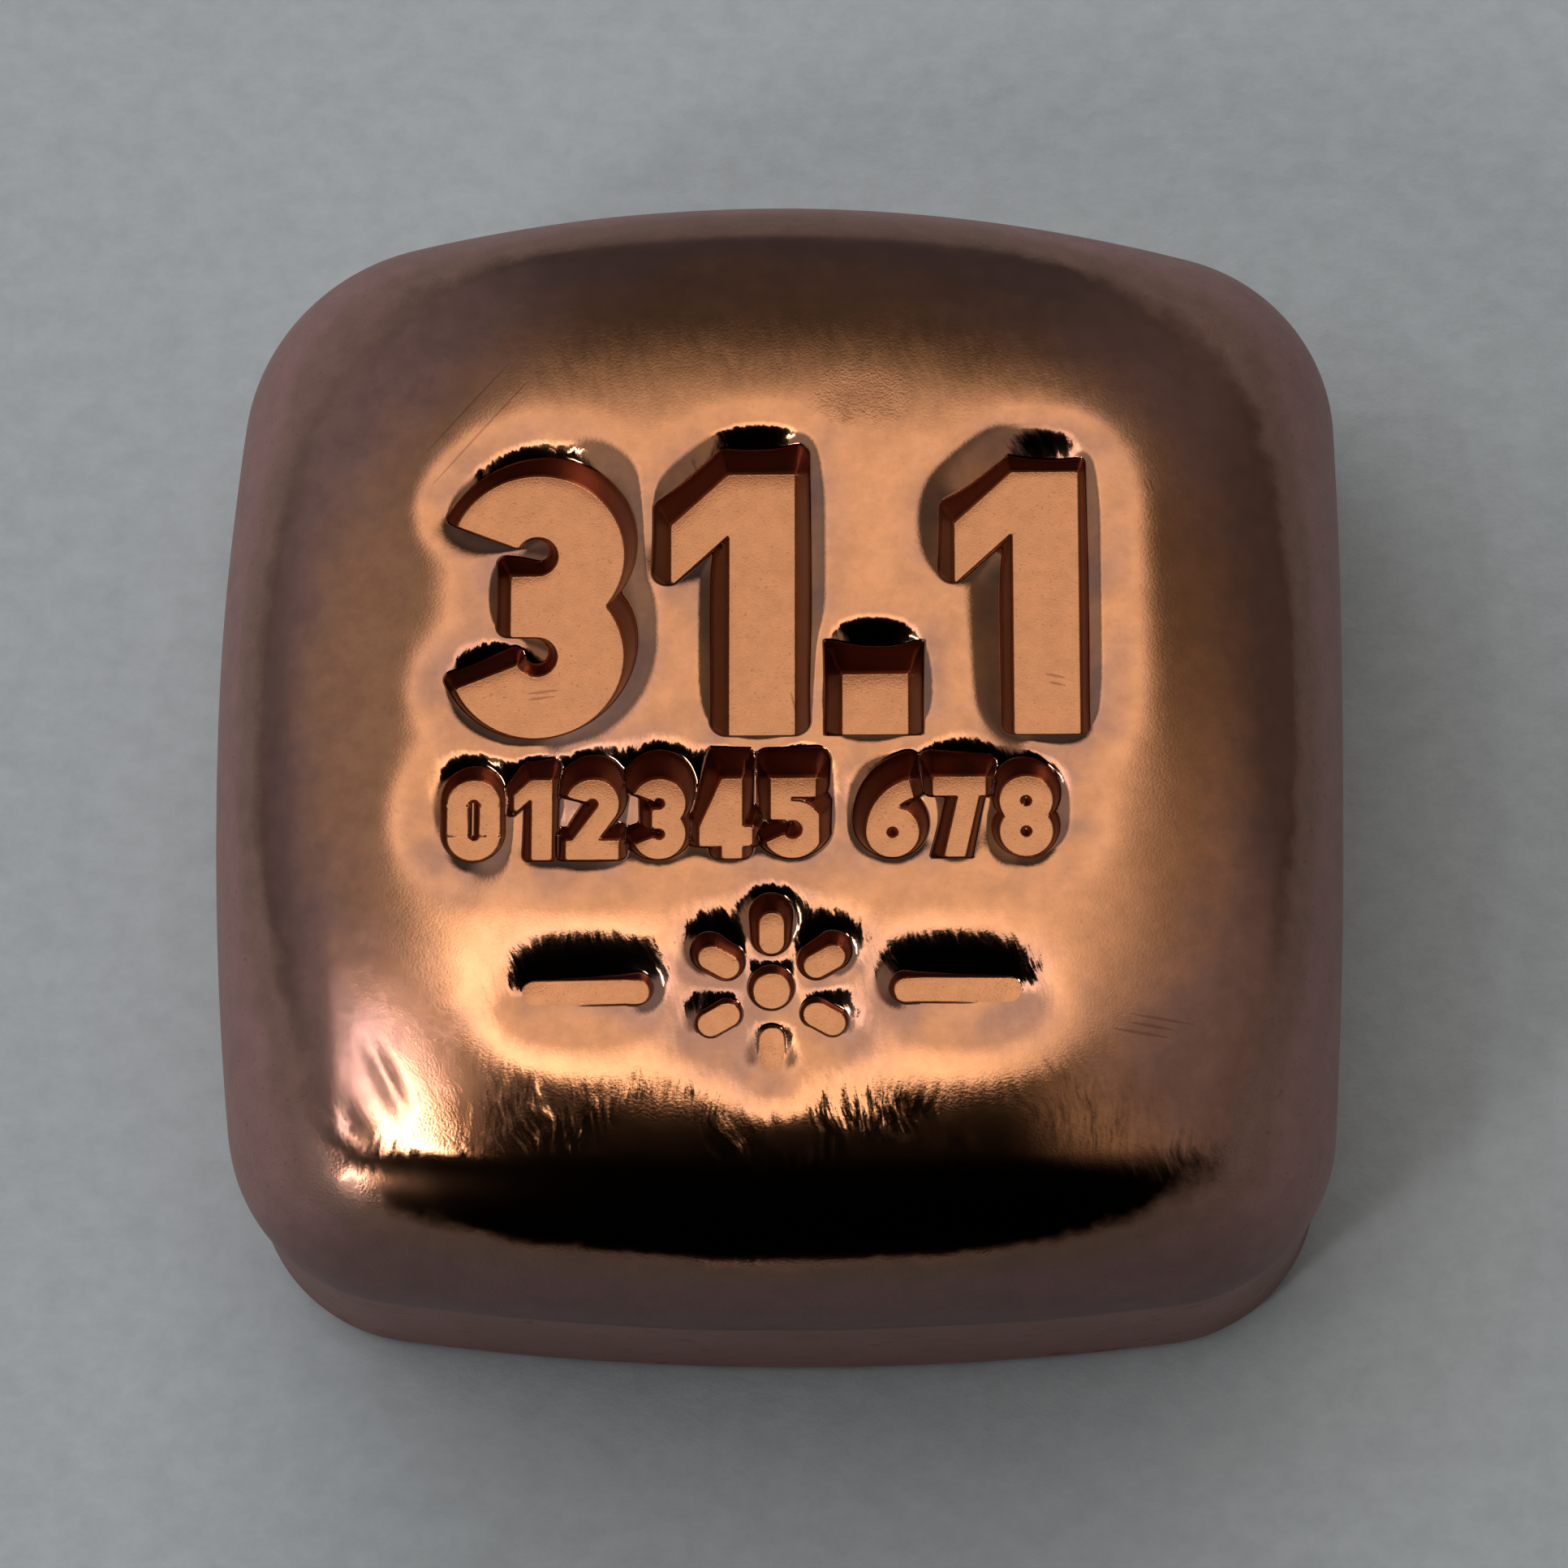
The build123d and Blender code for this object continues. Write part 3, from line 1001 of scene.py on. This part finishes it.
def shoulder_balls(body, rim, outward):
    """Middle of the ball that rolls the shoulder at each point of the rim, touching the crown inside."""
    slack = body.crown_radius - body.shoulder_radius
    ball = rim - outward * body.shoulder_radius
    ball_z = body.height - body.crown_radius + np.sqrt(slack**2 - (ball**2).sum(axis=1))
    return np.column_stack([ball, ball_z])


def shoulder_rings(body, surface, parts, balls, flat_out):
    """Rings that roll from the upright land over to the crown."""
    crown_middle = np.array([0.0, 0.0, body.height - body.crown_radius])
    contact = (balls - crown_middle) / (body.crown_radius - body.shoulder_radius)
    span = np.arccos(np.clip((contact * flat_out).sum(axis=1), -1, 1))
    rings = []
    for step in range(SHOULDER_STEPS + 1):
        share = step / SHOULDER_STEPS
        normal = flat_out * np.sin((1 - share) * span)[:, None] + contact * np.sin(share * span)[:, None]
        normal = normal / np.sin(span)[:, None]
        rings.append(parts.add_points(swayed(surface, balls + normal * body.shoulder_radius, normal)))
    return rings


def seam_wander(rim):
    """How far the seam wanders up and down round the rim, as a share that is never above it."""
    turn = np.arctan2(rim[:, 1], rim[:, 0])
    waves = ((1.0, 5, 1), (0.6, 11, 4), (0.4, 23, 0))
    wander = sum(size * np.sin(count * turn + start) for size, count, start in waves)
    highest = sum(size for size, _, _ in waves)
    return (wander - highest) / 2


def struck_top(surface, ring):
    """Points and triangles of the crown with the mark in it."""
    xs = np.arange(TRACE_LOW[0], TRACE_HIGH[0], TRACE_CELL)
    ys = np.arange(TRACE_LOW[1], TRACE_HIGH[1], TRACE_CELL)
    grid = np.meshgrid(xs, ys)
    points = []
    joints = []
    count = 0
    for values, levels in ((surface.edge_distance(*grid), FLOOR_ROWS), (surface.wall_top(*grid), EDGE_ROWS)):
        for level in levels:
            line, pairs = level_lines(values, xs, ys, level)
            points.append(line)
            joints.append(pairs + count)
            count += len(line)
    field = scatter(ring, CROWN_SPACING, seed=3, margin=CROWN_SPACING / 2)
    near = surface.edge_distance(*field.T)
    top = surface.wall_top(*field.T)
    clear = (np.abs(near) > FLOOR_CLEARANCE) & ((top < EDGE_CLEARANCE[0]) | (top > EDGE_CLEARANCE[1]))
    return fill(ring, np.vstack([*points, field[clear]]), np.vstack(joints), CROWN_LEAST_GAP)


def ingot_mesh(body, mark, lines, beads):
    """The whole ingot as one closed mesh, in metres."""
    surface = Surface(body, mark, lines, beads)
    parts = MeshParts()
    base_ring, crown_ring = body_rings(body, surface, parts)
    flat, ring_index, faces = struck_top(surface, parts.places()[crown_ring][:, :2])
    index, fresh = parts.add_fill(crown_ring, flat, ring_index, surface.height(*flat.T))
    triangles = np.array(faces)
    middle = flat[triangles].mean(axis=1)
    parts.add_faces(index[triangles], np.where(surface.wall_top(*middle.T) < 0, STRUCK, FREE))

    base = parts.places()[base_ring][:, :2]
    spread = scatter(base, BASE_SPACING, seed=5, margin=0.4 * BASE_SPACING)
    base_flat, base_index, base_faces = fill(base, spread, [], BASE_LEAST_GAP)
    base_ids, _ = parts.add_fill(base_ring, base_flat, base_index, np.zeros(len(base_flat)))
    parts.add_faces(base_ids[np.array(base_faces)[:, ::-1]], [CAST] * len(base_faces))

    places = parts.places()
    mesh = bpy.data.meshes.new("Ingot")
    mesh.from_pydata([tuple(place) for place in places * MM], [], parts.faces)
    mesh.polygons.foreach_set("material_index", parts.kinds)
    mesh.polygons.foreach_set("use_smooth", np.ones(len(mesh.polygons), dtype=bool))
    add_attributes(mesh, surface, index, flat)
    mesh.validate()
    normals = np.zeros(places.shape)
    normals[index[fresh]] = surface.normals(*flat[fresh].T)
    mesh.normals_split_custom_set_from_vertices([tuple(normal) for normal in normals])
    return mesh


def add_attributes(mesh, surface, index, flat):
    """Values that the materials read: how near the mark is, and how far up its wall."""
    far_away = 9.0
    near = np.full(len(mesh.vertices), far_away)
    rise = np.zeros(len(mesh.vertices))
    edge = surface.edge_distance(*flat.T)
    near[index] = edge
    wall_height = np.maximum(surface.free_height(*flat.T) - surface.floor_height(flat[:, 1]), 0.05)
    rise[index] = np.clip(edge / tan(surface.mark.draft) / wall_height, -1, 3)
    for name, values in (("mark_distance", near), ("wall_rise", rise)):
        layer = mesh.attributes.new(name, "FLOAT", "POINT")
        layer.data.foreach_set("value", values.astype(np.float32))


# Effects that several materials share

def millimetre_places(tree):
    """Object coordinates in millimetres."""
    place = result_of(tree, "ShaderNodeTexCoord", output="Object")
    return stretched(place, (1 / MM, 1 / MM, 1 / MM))


def stretched(place, scale):
    """Coordinates scaled by different amounts along the axes."""
    return vector_maths("MULTIPLY", place, scale)


def noise(place, scale, detail=2.0, roughness=0.5):
    """A noise value from nought to one."""
    return result_of(place.tree, "ShaderNodeTexNoise", {"Vector": place, "Scale": scale, "Detail": detail,
                     "Roughness": roughness}, "Fac")


def attribute(tree, name):
    """A value that the mesh holds at its points."""
    return result_of(tree, "ShaderNodeAttribute", output="Fac", attribute_name=name)


def use_group(tree, group, inputs):
    """A node group placed in a material. Gives its outputs by name."""
    node = add(tree, "ShaderNodeGroup", inputs, node_tree=group)
    return {socket.name: Value(tree, socket) for socket in node.outputs}


def grain_group():
    """Fine grain as a height, and rare dark specks as a mask."""
    tree, given, result = group_tree("ShaderNodeTree", "Copper grain", {"Size": "Float", "Stretch": "Float"},
                                     {"Height": "Float", "Specks": "Float"})
    place = stretched(millimetre_places(tree), vector_of(tree, X=1.0, Y=1.0, Z=given["Stretch"]))
    scale = 1.0 / given["Size"]
    link(noise(place, scale), result["Height"])
    rare = noise(place, scale * 0.5, detail=1.0)
    link(between(rare, 0.66, 0.76), result["Specks"])
    return tree


def streak_group():
    """Hair-fine drag lines that run mostly front to back, as a lean of the surface."""
    tree, given, result = group_tree("ShaderNodeTree", "Drag lines",
                                     {"Strength": "Float", "Normal": "Vector"}, {"Normal": "Vector"})
    fan, sway, lines_across, lines_along, side_share = 0.22, 0.9, 7.0, 1.6, 0.3
    place = millimetre_places(tree)
    x, y, z = axes_of(place)
    across = x + y * fan + noise(place, 0.8, detail=1.0) * sway
    lines = noise(vector_of(tree, X=across * lines_across, Y=y * lines_along, Z=z * lines_along), 1.0,
                  detail=3.0, roughness=0.7)
    lean = (lines - 0.5) * given["Strength"]
    moved = vector_maths("ADD", given["Normal"], vector_of(tree, X=lean * side_share, Y=lean))
    link(vector_maths("NORMALIZE", moved, (0.0, 0.0, 0.0)), result["Normal"])
    return tree


def scratch_group():
    """One short straight scratch from a start along a run, as a mask that is widest at its middle."""
    sockets = {"Start": "Vector", "Run": "Vector", "Width": "Float"}
    tree, given, result = group_tree("ShaderNodeTree", "Scratch", sockets, {"Mask": "Float"})
    seen_from_above = (1.0, 1.0, 0.0)
    end_width, swelling = 0.25, 3.0
    offset = vector_maths("SUBTRACT", stretched(millimetre_places(tree), seen_from_above), given["Start"])
    along = vector_maths("DOT_PRODUCT", offset, given["Run"], "Value")
    square = vector_maths("DOT_PRODUCT", given["Run"], given["Run"], "Value")
    share = maths("DIVIDE", along, square, clamp=True)
    gap = vector_maths("DISTANCE", offset, scaled(given["Run"], share), "Value")
    width = given["Width"] * (share * (1.0 - share) * swelling + end_width)
    link(between(gap / width, 1.0, 0.5), result["Mask"])
    return tree


# A bundle of scratches: where it begins, its heading in degrees, and its length and gap in millimetres

Bundle = namedtuple("Bundle", "x y turn length gap count")
CROWN_SCRATCHES = (
    Bundle(x=6.6, y=-5.9, turn=-6, length=1.3, gap=-0.16, count=3),
    Bundle(x=-3.4, y=-8.2, turn=58, length=0.55, gap=0.12, count=3),
    Bundle(x=-2.9, y=-8.2, turn=122, length=0.5, gap=-0.14, count=2),
    Bundle(x=6.9, y=4.6, turn=-70, length=0.45, gap=0.1, count=2),
    Bundle(x=-6.3, y=4.7, turn=50, length=3.0, gap=0.55, count=2),
)
FLOOR_SCRATCHES = (
    Bundle(x=0.4, y=-0.1, turn=105, length=0.5, gap=0.13, count=1),
    Bundle(x=5.1, y=0.6, turn=-12, length=0.5, gap=0.15, count=2),
    Bundle(x=-4.6, y=0.2, turn=8, length=0.6, gap=0.12, count=2),
)
FINEST_SCRATCH, WIDEST_SCRATCH = 0.018, 0.04


def scratches(tree, group, bundles):
    """The mask of several bundles of scratches."""
    rng = np.random.default_rng(21)
    mask = None
    for bundle in bundles:
        heading = np.array([cos(radians(bundle.turn)), sin(radians(bundle.turn))])
        beside = np.array([-heading[1], heading[0]])
        first = np.array([bundle.x, bundle.y])
        for number in range(bundle.count):
            run = heading * bundle.length * rng.uniform(0.6, 1.0)
            start = first + beside * bundle.gap * number + heading * rng.uniform(-0.2, 0.2) * bundle.length
            line = use_group(tree, group, {"Start": (*start, 0.0), "Run": (*run, 0.0),
                                           "Width": rng.uniform(FINEST_SCRATCH, WIDEST_SCRATCH)})["Mask"]
            mask = line if mask is None else larger(mask, line)
    return mask


# Materials

def new_material(name):
    """An empty material with its shader."""
    material = bpy.data.materials.new(name)
    material.use_nodes = True
    tree = material.node_tree
    tree.nodes.clear()
    shader = add(tree, "ShaderNodeBsdfPrincipled")
    output = add(tree, "ShaderNodeOutputMaterial")
    link(Value(tree, shader.outputs[0]), output.inputs["Surface"])
    return material, tree, shader.inputs


def bumped(height, distance, strength=1.0):
    """A normal with fine relief, its depth in millimetres."""
    return result_of(height.tree, "ShaderNodeBump",
                     {"Height": height, "Distance": distance * MM, "Strength": strength})


def film_edges(copper, place):
    """How far the brown film and the dull skin cover the copper, and how far below the skin's edge it is."""
    _, y, z = axes_of(place)
    ragged = (noise(place, 1.2, detail=5.0, roughness=0.6) - 0.5) * 0.5
    front = between(y, FRONT + 5.05, FRONT + 0.85)
    below_film = (TOP - copper.film_below) - front * copper.film_drop - (z + ragged)
    below_skin = (TOP - copper.skin_below) - front * copper.skin_drop - (z + ragged)
    return between(below_film, -0.2, 0.5), between(below_skin, -0.12, 0.2), below_skin


def dull_patch(x, y, cloud):
    """A dull patch with a ragged edge, behind the large numerals."""
    middle_x, middle_y, flattened, raggedness = 1.5, 6.1, 2.2, 1.6
    from_x = x - middle_x
    from_y = y - middle_y
    reach = maths("SQRT", from_x * from_x + from_y * from_y * flattened)
    return between(reach + (cloud - 0.5) * raggedness, 1.1, 0.2)


def drag_strength(place, y, distance):
    """Strength of the drag lines: in patches at the front, and beside the mark where copper faces forward."""
    faint, full = 0.02, 0.24
    front = between(y, FRONT + 4.65, FRONT + 2.85)
    patches = between(noise(place, 0.55, detail=2.0), 0.42, 0.62)
    normal = result_of(place.tree, "ShaderNodeNewGeometry", output="Normal")
    facing = between(axes_of(normal)[1], -0.05, -0.3)
    beside = between(distance, 1.1, 0.2) * (facing * 1.4 + 0.12)
    return larger(front * patches, beside) * full + faint


def free_copper(copper, grain, streaks, scratch):
    """Bright copper of the crown, which dulls to the mauve cast skin near the rim. The skin has painted shade
    towards the front, and the copper near the mark has a painted dark reflection.
    """
    material, tree, shader = new_material("Free copper")
    place = millimetre_places(tree)
    x, y, _ = axes_of(place)
    distance = attribute(tree, "mark_distance")
    film, skin, below_skin = film_edges(copper, place)
    fine = use_group(tree, grain, {"Size": 0.05, "Stretch": 1.0})
    cloud = noise(place, 1.7, detail=5.0, roughness=0.7)

    broad = noise(place, 0.45, detail=3.0, roughness=0.6)
    # Painted dark reflection: patches near the mark are darkened to the tarnished colour, standing in for the
    # dark that the copper sloping down into the mark reflects.
    painted_dark_reflection = between(distance, 1.3, 0.25) * between(broad, 0.38, 0.6, 0.05, 0.75)
    colour = blend_colours(larger(film, painted_dark_reflection), copper.bright, copper.tarnished)
    # Painted shade: the cast skin is darker towards the front, which faces away from the light.
    skin_in_painted_shade = tuple(0.55 * value for value in copper.skin)
    front_shade = between(y, FRONT + 2.45, FRONT + 0.65)
    colour = blend_colours(skin, colour, blend_colours(front_shade, copper.skin, skin_in_painted_shade))
    scorched_ring = between(below_skin, -0.25, 0.1) * between(below_skin, 0.7, 0.25)
    colour = blend_colours(scorched_ring * 0.5, colour, copper.scorched)
    colour = scaled(colour, between(cloud, 0.25, 0.75, 0.86, 1.1))
    colour = blend_colours(scratches(tree, scratch, CROWN_SCRATCHES) * 0.45, colour, copper.walls)
    pits = fine["Specks"] * (skin * 0.45 + 0.1)
    link(blend_colours(pits, colour, copper.walls), shader["Base Color"])
    link(1.0 - skin * 0.6, shader["Metallic"])

    dull = dull_patch(x, y, cloud)
    bright_rough, film_rough, dull_rough, skin_rough = 0.085, 0.19, 0.36, 0.5
    rough = blend_values(dull, blend_values(film, bright_rough, film_rough), dull_rough)
    link(blend_values(skin, rough, skin_rough), shader["Roughness"])
    bump = bumped(fine["Height"], 0.012, blend_values(skin, dull * 0.6 + 0.06, 1.0))
    lined = use_group(tree, streaks, {"Strength": drag_strength(place, y, distance), "Normal": bump})
    link(lined["Normal"], shader["Normal"])
    return material


def struck_copper(copper, grain, scratch):
    """Matte copper of the mark's floors, with painted shade on its walls: they are given a dark red instead
    of the floors' copper.
    """
    material, tree, shader = new_material("Struck copper")
    wall = between(attribute(tree, "wall_rise"), 0.01, 0.16)
    fine = use_group(tree, grain, {"Size": 0.035, "Stretch": 1.0})
    cloud = noise(millimetre_places(tree), 2.6, detail=4.0, roughness=0.75)
    floor = scaled(tuple(copper.struck), between(cloud, 0.25, 0.75, 0.9, 1.07))
    colour = blend_colours(fine["Specks"] * 0.35, floor, copper.walls)
    colour = blend_colours(scratches(tree, scratch, FLOOR_SCRATCHES) * 0.5, colour, copper.walls)
    # Painted shade: the walls take the dark red shade colour instead of the floors' copper.
    link(blend_colours(wall, colour, copper.walls), shader["Base Color"])
    shader["Metallic"].default_value = 1.0
    floor_rough, wall_rough = 0.32, 0.35
    link(blend_values(wall, floor_rough, wall_rough), shader["Roughness"])
    link(bumped(fine["Height"], 0.006), shader["Normal"])
    return material


def cast_copper(copper, grain, rim_height):
    """Dull mauve skin that the mould left on the wall and base, with painted shade in the crease under the
    seam's ledge.
    """
    material, tree, shader = new_material("Cast copper")
    seam_low, seam_high = rim_height - 0.1, rim_height - 0.02
    fine = use_group(tree, grain, {"Size": 0.07, "Stretch": 3.0})
    place = millimetre_places(tree)
    cloud = noise(place, 0.9, detail=5.0, roughness=0.65)
    colour = blend_colours(between(cloud, 0.3, 0.75), copper.skin, copper.scorched)
    colour = blend_colours(0.55, colour, copper.skin)
    nicks = noise(stretched(place, (1.0, 1.0, 3.2)), 1.6, detail=3.0)
    # Painted shade: a dark line just under the seam's ledge, mixed in with the real nicks and specks.
    seam = between(axes_of(place)[2] + cloud * 0.12, seam_low, seam_high)
    dark = larger(larger(between(nicks, 0.64, 0.69), fine["Specks"] * 0.5), seam * 0.75)
    link(blend_colours(dark * 0.8, colour, copper.walls), shader["Base Color"])
    shader["Metallic"].default_value = 0.4
    shader["Roughness"].default_value = 0.55
    link(bumped(fine["Height"] - nicks * 0.6, 0.02), shader["Normal"])
    return material


def paper_material(stage):
    """Pale paper with faint fibres, and a painted shadow in front of the ingot."""
    material, tree, shader = new_material("Floor paper")
    place = millimetre_places(tree)
    fibre = noise(stretched(place, (1.0, 1.2, 1.0)), 1.4, detail=4.0, roughness=0.7)
    # Painted shadow: the paper is darkened in a round patch in front of the ingot.
    painted_shadow_middle = (0.0, FRONT - 3.95, 0.0)
    away = vector_maths("DISTANCE", place, painted_shadow_middle, "Value")
    fibres_and_painted_shadow = between(fibre, 0.2, 0.8, 0.92, 1.08) * between(away, 4.0, 14.0, 0.72, 1.0)
    link(scaled(tuple(stage.floor_colour), fibres_and_painted_shadow), shader["Base Color"])
    shader["Roughness"].default_value = 0.9
    shader["Specular IOR Level"].default_value = 0.2
    link(bumped(fibre, 0.05), shader["Normal"])
    return material


# The stage. Places in the sky are angles in degrees from straight above, towards the back and to the
# right, or parts of a unit heading. An edge of light is given first where it is dark, then where it is
# full. The front edge of the panel bows back with the square of the angle to the side.

PANEL_COLOUR = (1.0, 0.985, 0.93)
COOL_COLOUR = (0.84, 0.92, 1.05)
WARM_COLOUR = (1.0, 0.95, 0.9)
WHITE = (1.0, 1.0, 1.0)
PANEL_FRONT = (-10.4, -8.4)
PANEL_BACK = (47.0, 36.5)
PANEL_LEFT = (-27.5, -21.5)
PANEL_RIGHT = 26.5
PANEL_BOW = 0.011


def overhead_panel(stage, back, side):
    """Light of the panel: bowed and brighter at its front edge, and faded out slantwise at its right."""
    from_front = back - side * side * PANEL_BOW
    panel = between(from_front, *PANEL_FRONT) * between(back, *PANEL_BACK) * between(side, *PANEL_LEFT)
    slant, at_middle, farthest = 0.6, 11.0, 20.0
    fade_start = maths("MINIMUM", back * slant + at_middle, farthest)
    panel = panel * between((PANEL_RIGHT - side) / (PANEL_RIGHT - fade_start), 0.0, 1.0)
    near_front = between(from_front, 4.0, -7.5)
    at_left = between(side, -4.0, -18.0, 0.8, 1.3)
    return panel * ((near_front * at_left * stage.front_edge + 1.0) * stage.overhead)


def room_light(stage, x, y, back):
    """Cool light from the left and from behind, and warm light from the right, cut off by a card in front."""
    left = between(x, -0.2, -0.5) * between(x, -1.0, -0.75, 0.6, 1.0) * stage.side_room
    right = between(x, 0.22, 0.42) * between(back, 32.0, 0.0, 0.13, 0.32)
    rear = between(y, 0.5, 0.9, 0.0, 0.12)
    sideways = abs(x) / larger(y * -1.0, 0.01)
    behind_card = between(y, -0.22, -0.1)
    cool = (left + rear) * larger(behind_card, between(sideways, 1.5, 4.0))
    warm = right * larger(behind_card, between(sideways, 0.8, 2.4))
    return cool, warm


def white_lights(stage, heading, z, back, side):
    """A small round light and a thin slanting strip at the front left."""
    round_place, round_reach = (-0.60, -0.55, 0.0), 0.09
    seen_from_above = (1.0, 1.0, 0.0)
    gap = vector_maths("DISTANCE", stretched(heading, seen_from_above), round_place, "Value")
    small = between(gap, round_reach, round_reach * 0.65) * between(z, 0.0, 0.05) * stage.small_light
    slant, at_middle = -0.185, -30.2
    off_line = abs(side - (back * slant + at_middle))
    strip = between(off_line, 0.8, 0.35) * between(back, -19.0, -14.0) * between(back, -2.5, -5.5)
    return strip * (stage.small_light * 2) + small


def studio_world(stage):
    """A warm panel overhead, a dark card in front, pale walls at the sides and two small white lights."""
    world = bpy.context.scene.world or bpy.data.worlds.new("Studio")
    bpy.context.scene.world = world
    world.use_nodes = True
    tree = world.node_tree
    tree.nodes.clear()
    output = add(tree, "ShaderNodeOutputWorld")
    background = add(tree, "ShaderNodeBackground")
    link(Value(tree, background.outputs[0]), output.inputs["Surface"])
    heading = result_of(tree, "ShaderNodeTexCoord", output="Generated")
    x, y, z = axes_of(heading)
    back = maths("ARCTAN2", y, z) * degrees(1)
    side = maths("ARCTAN2", x, z) * degrees(1)
    cool, warm = room_light(stage, x, y, back)
    total = scaled(PANEL_COLOUR, overhead_panel(stage, back, side))
    for colour, strength in ((COOL_COLOUR, cool), (WARM_COLOUR, warm),
                             (WHITE, white_lights(stage, heading, z, back, side))):
        total = vector_maths("ADD", total, scaled(colour, strength))
    link(total, background.inputs["Color"])


def soft_lamp(stage):
    """A large soft lamp at the back left, which mirrors in nothing."""
    data = bpy.data.lights.new("Soft lamp", "AREA")
    data.shape = "SQUARE"
    data.size = stage.lamp_size * MM
    data.energy = stage.soft_lamp
    data.color = (0.95, 0.98, 1.0)
    lamp = bpy.data.objects.new("Soft lamp", data)
    away = Vector((-0.66, 0.42, 0.62)).normalized()
    facing = away.to_track_quat("Z", "Y").to_matrix().to_4x4()
    lamp.matrix_world = Matrix.Translation(away * stage.lamp_distance * MM) @ facing
    lamp.visible_glossy = False
    bpy.context.scene.collection.objects.link(lamp)


def studio_camera(stage):
    """A long lens a little in front of straight above."""
    lean, side, roll = stage.camera_lean, stage.camera_side, stage.camera_roll
    away = Vector((sin(side) * sin(lean), -cos(side) * sin(lean), cos(lean)))
    right = (-away).cross(Vector((0, 1, 0))).normalized()
    up = right.cross(-away)
    turned_right = right * cos(roll) - up * sin(roll)
    turned_up = right * sin(roll) + up * cos(roll)
    half = stage.picture_size / 2
    aim = Vector((0, 0, stage.middle_height)) - right * ((stage.middle_column - half) / stage.camera_scale)
    aim = aim + up * ((stage.middle_row - half) / stage.camera_scale)
    data = bpy.data.cameras.new("Camera")
    data.sensor_width = 36.0
    data.lens = stage.camera_scale * stage.camera_distance / stage.picture_size * data.sensor_width
    data.clip_start = 0.01
    camera = bpy.data.objects.new("Camera", data)
    axes = Matrix((turned_right, turned_up, away)).transposed().to_4x4()
    camera.matrix_world = Matrix.Translation((aim + away * stage.camera_distance) * MM) @ axes
    bpy.context.scene.collection.objects.link(camera)
    bpy.context.scene.camera = camera


# The add-on

class INGOT_OT_pour(Operator):
    """Make the copper ingot with its struck mark"""
    bl_idname = "ingot.pour"
    bl_label = "Copper ingot"

    def execute(self, context):
        scene = context.scene
        body = in_millimetres(scene.ingot_body)
        mark = in_millimetres(scene.ingot_mark)
        copper = in_millimetres(scene.ingot_copper)
        grain = grain_group()
        scratch = scratch_group()
        materials = (free_copper(copper, grain, streak_group(), scratch),
                     struck_copper(copper, grain, scratch), cast_copper(copper, grain, body.rim_height))
        lines, beads = ornament_lines(mark, materials[STRUCK])
        mesh = ingot_mesh(body, mark, lines, beads)
        for material in materials:
            mesh.materials.append(material)
        piece = bpy.data.objects.new("Ingot", mesh)
        scene.collection.objects.link(piece)
        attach(piece, "root")
        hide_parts("ingot")
        return {"FINISHED"}


class INGOT_OT_stage(Operator):
    """Set up the floor, the light and the camera"""
    bl_idname = "ingot.stage"
    bl_label = "Studio"

    def execute(self, context):
        scene = context.scene
        stage = in_millimetres(scene.ingot_stage)
        half = stage.floor_size / 2 * MM
        mesh = bpy.data.meshes.new("Floor")
        corners = [(-half, -half, 0), (half, -half, 0), (half, half, 0), (-half, half, 0)]
        mesh.from_pydata(corners, [], [(0, 1, 2, 3)])
        mesh.materials.append(paper_material(stage))
        floor = bpy.data.objects.new("Floor", mesh)
        scene.collection.objects.link(floor)
        studio_world(stage)
        soft_lamp(stage)
        studio_camera(stage)
        scene.view_settings.view_transform = "Standard"
        return {"FINISHED"}


class INGOT_PT_panel(Panel):
    """Buttons for the ingot and its studio"""
    bl_label = "Copper ingot"
    bl_space_type = "VIEW_3D"
    bl_region_type = "UI"
    bl_category = "Ingot"

    def draw(self, context):
        self.layout.operator(INGOT_OT_pour.bl_idname)
        self.layout.operator(INGOT_OT_stage.bl_idname)


SETTINGS = {
    "ingot_body": IngotBodySettings,
    "ingot_mark": IngotMarkSettings,
    "ingot_copper": IngotCopperSettings,
    "ingot_stage": IngotStageSettings,
}
CLASSES = (*SETTINGS.values(), INGOT_OT_pour, INGOT_OT_stage, INGOT_PT_panel)


def register():
    """Adds the classes and their settings to Blender."""
    for item in CLASSES:
        bpy.utils.register_class(item)
    for name, group in SETTINGS.items():
        setattr(bpy.types.Scene, name, PointerProperty(type=group))


def unregister():
    """Takes them out again."""
    for name in SETTINGS:
        delattr(bpy.types.Scene, name)
    for item in reversed(CLASSES):
        bpy.utils.unregister_class(item)


def main():
    """Makes the ingot and its studio."""
    register()
    bpy.ops.ingot.pour()
    bpy.ops.ingot.stage()


if __name__ == "__main__":
    main()
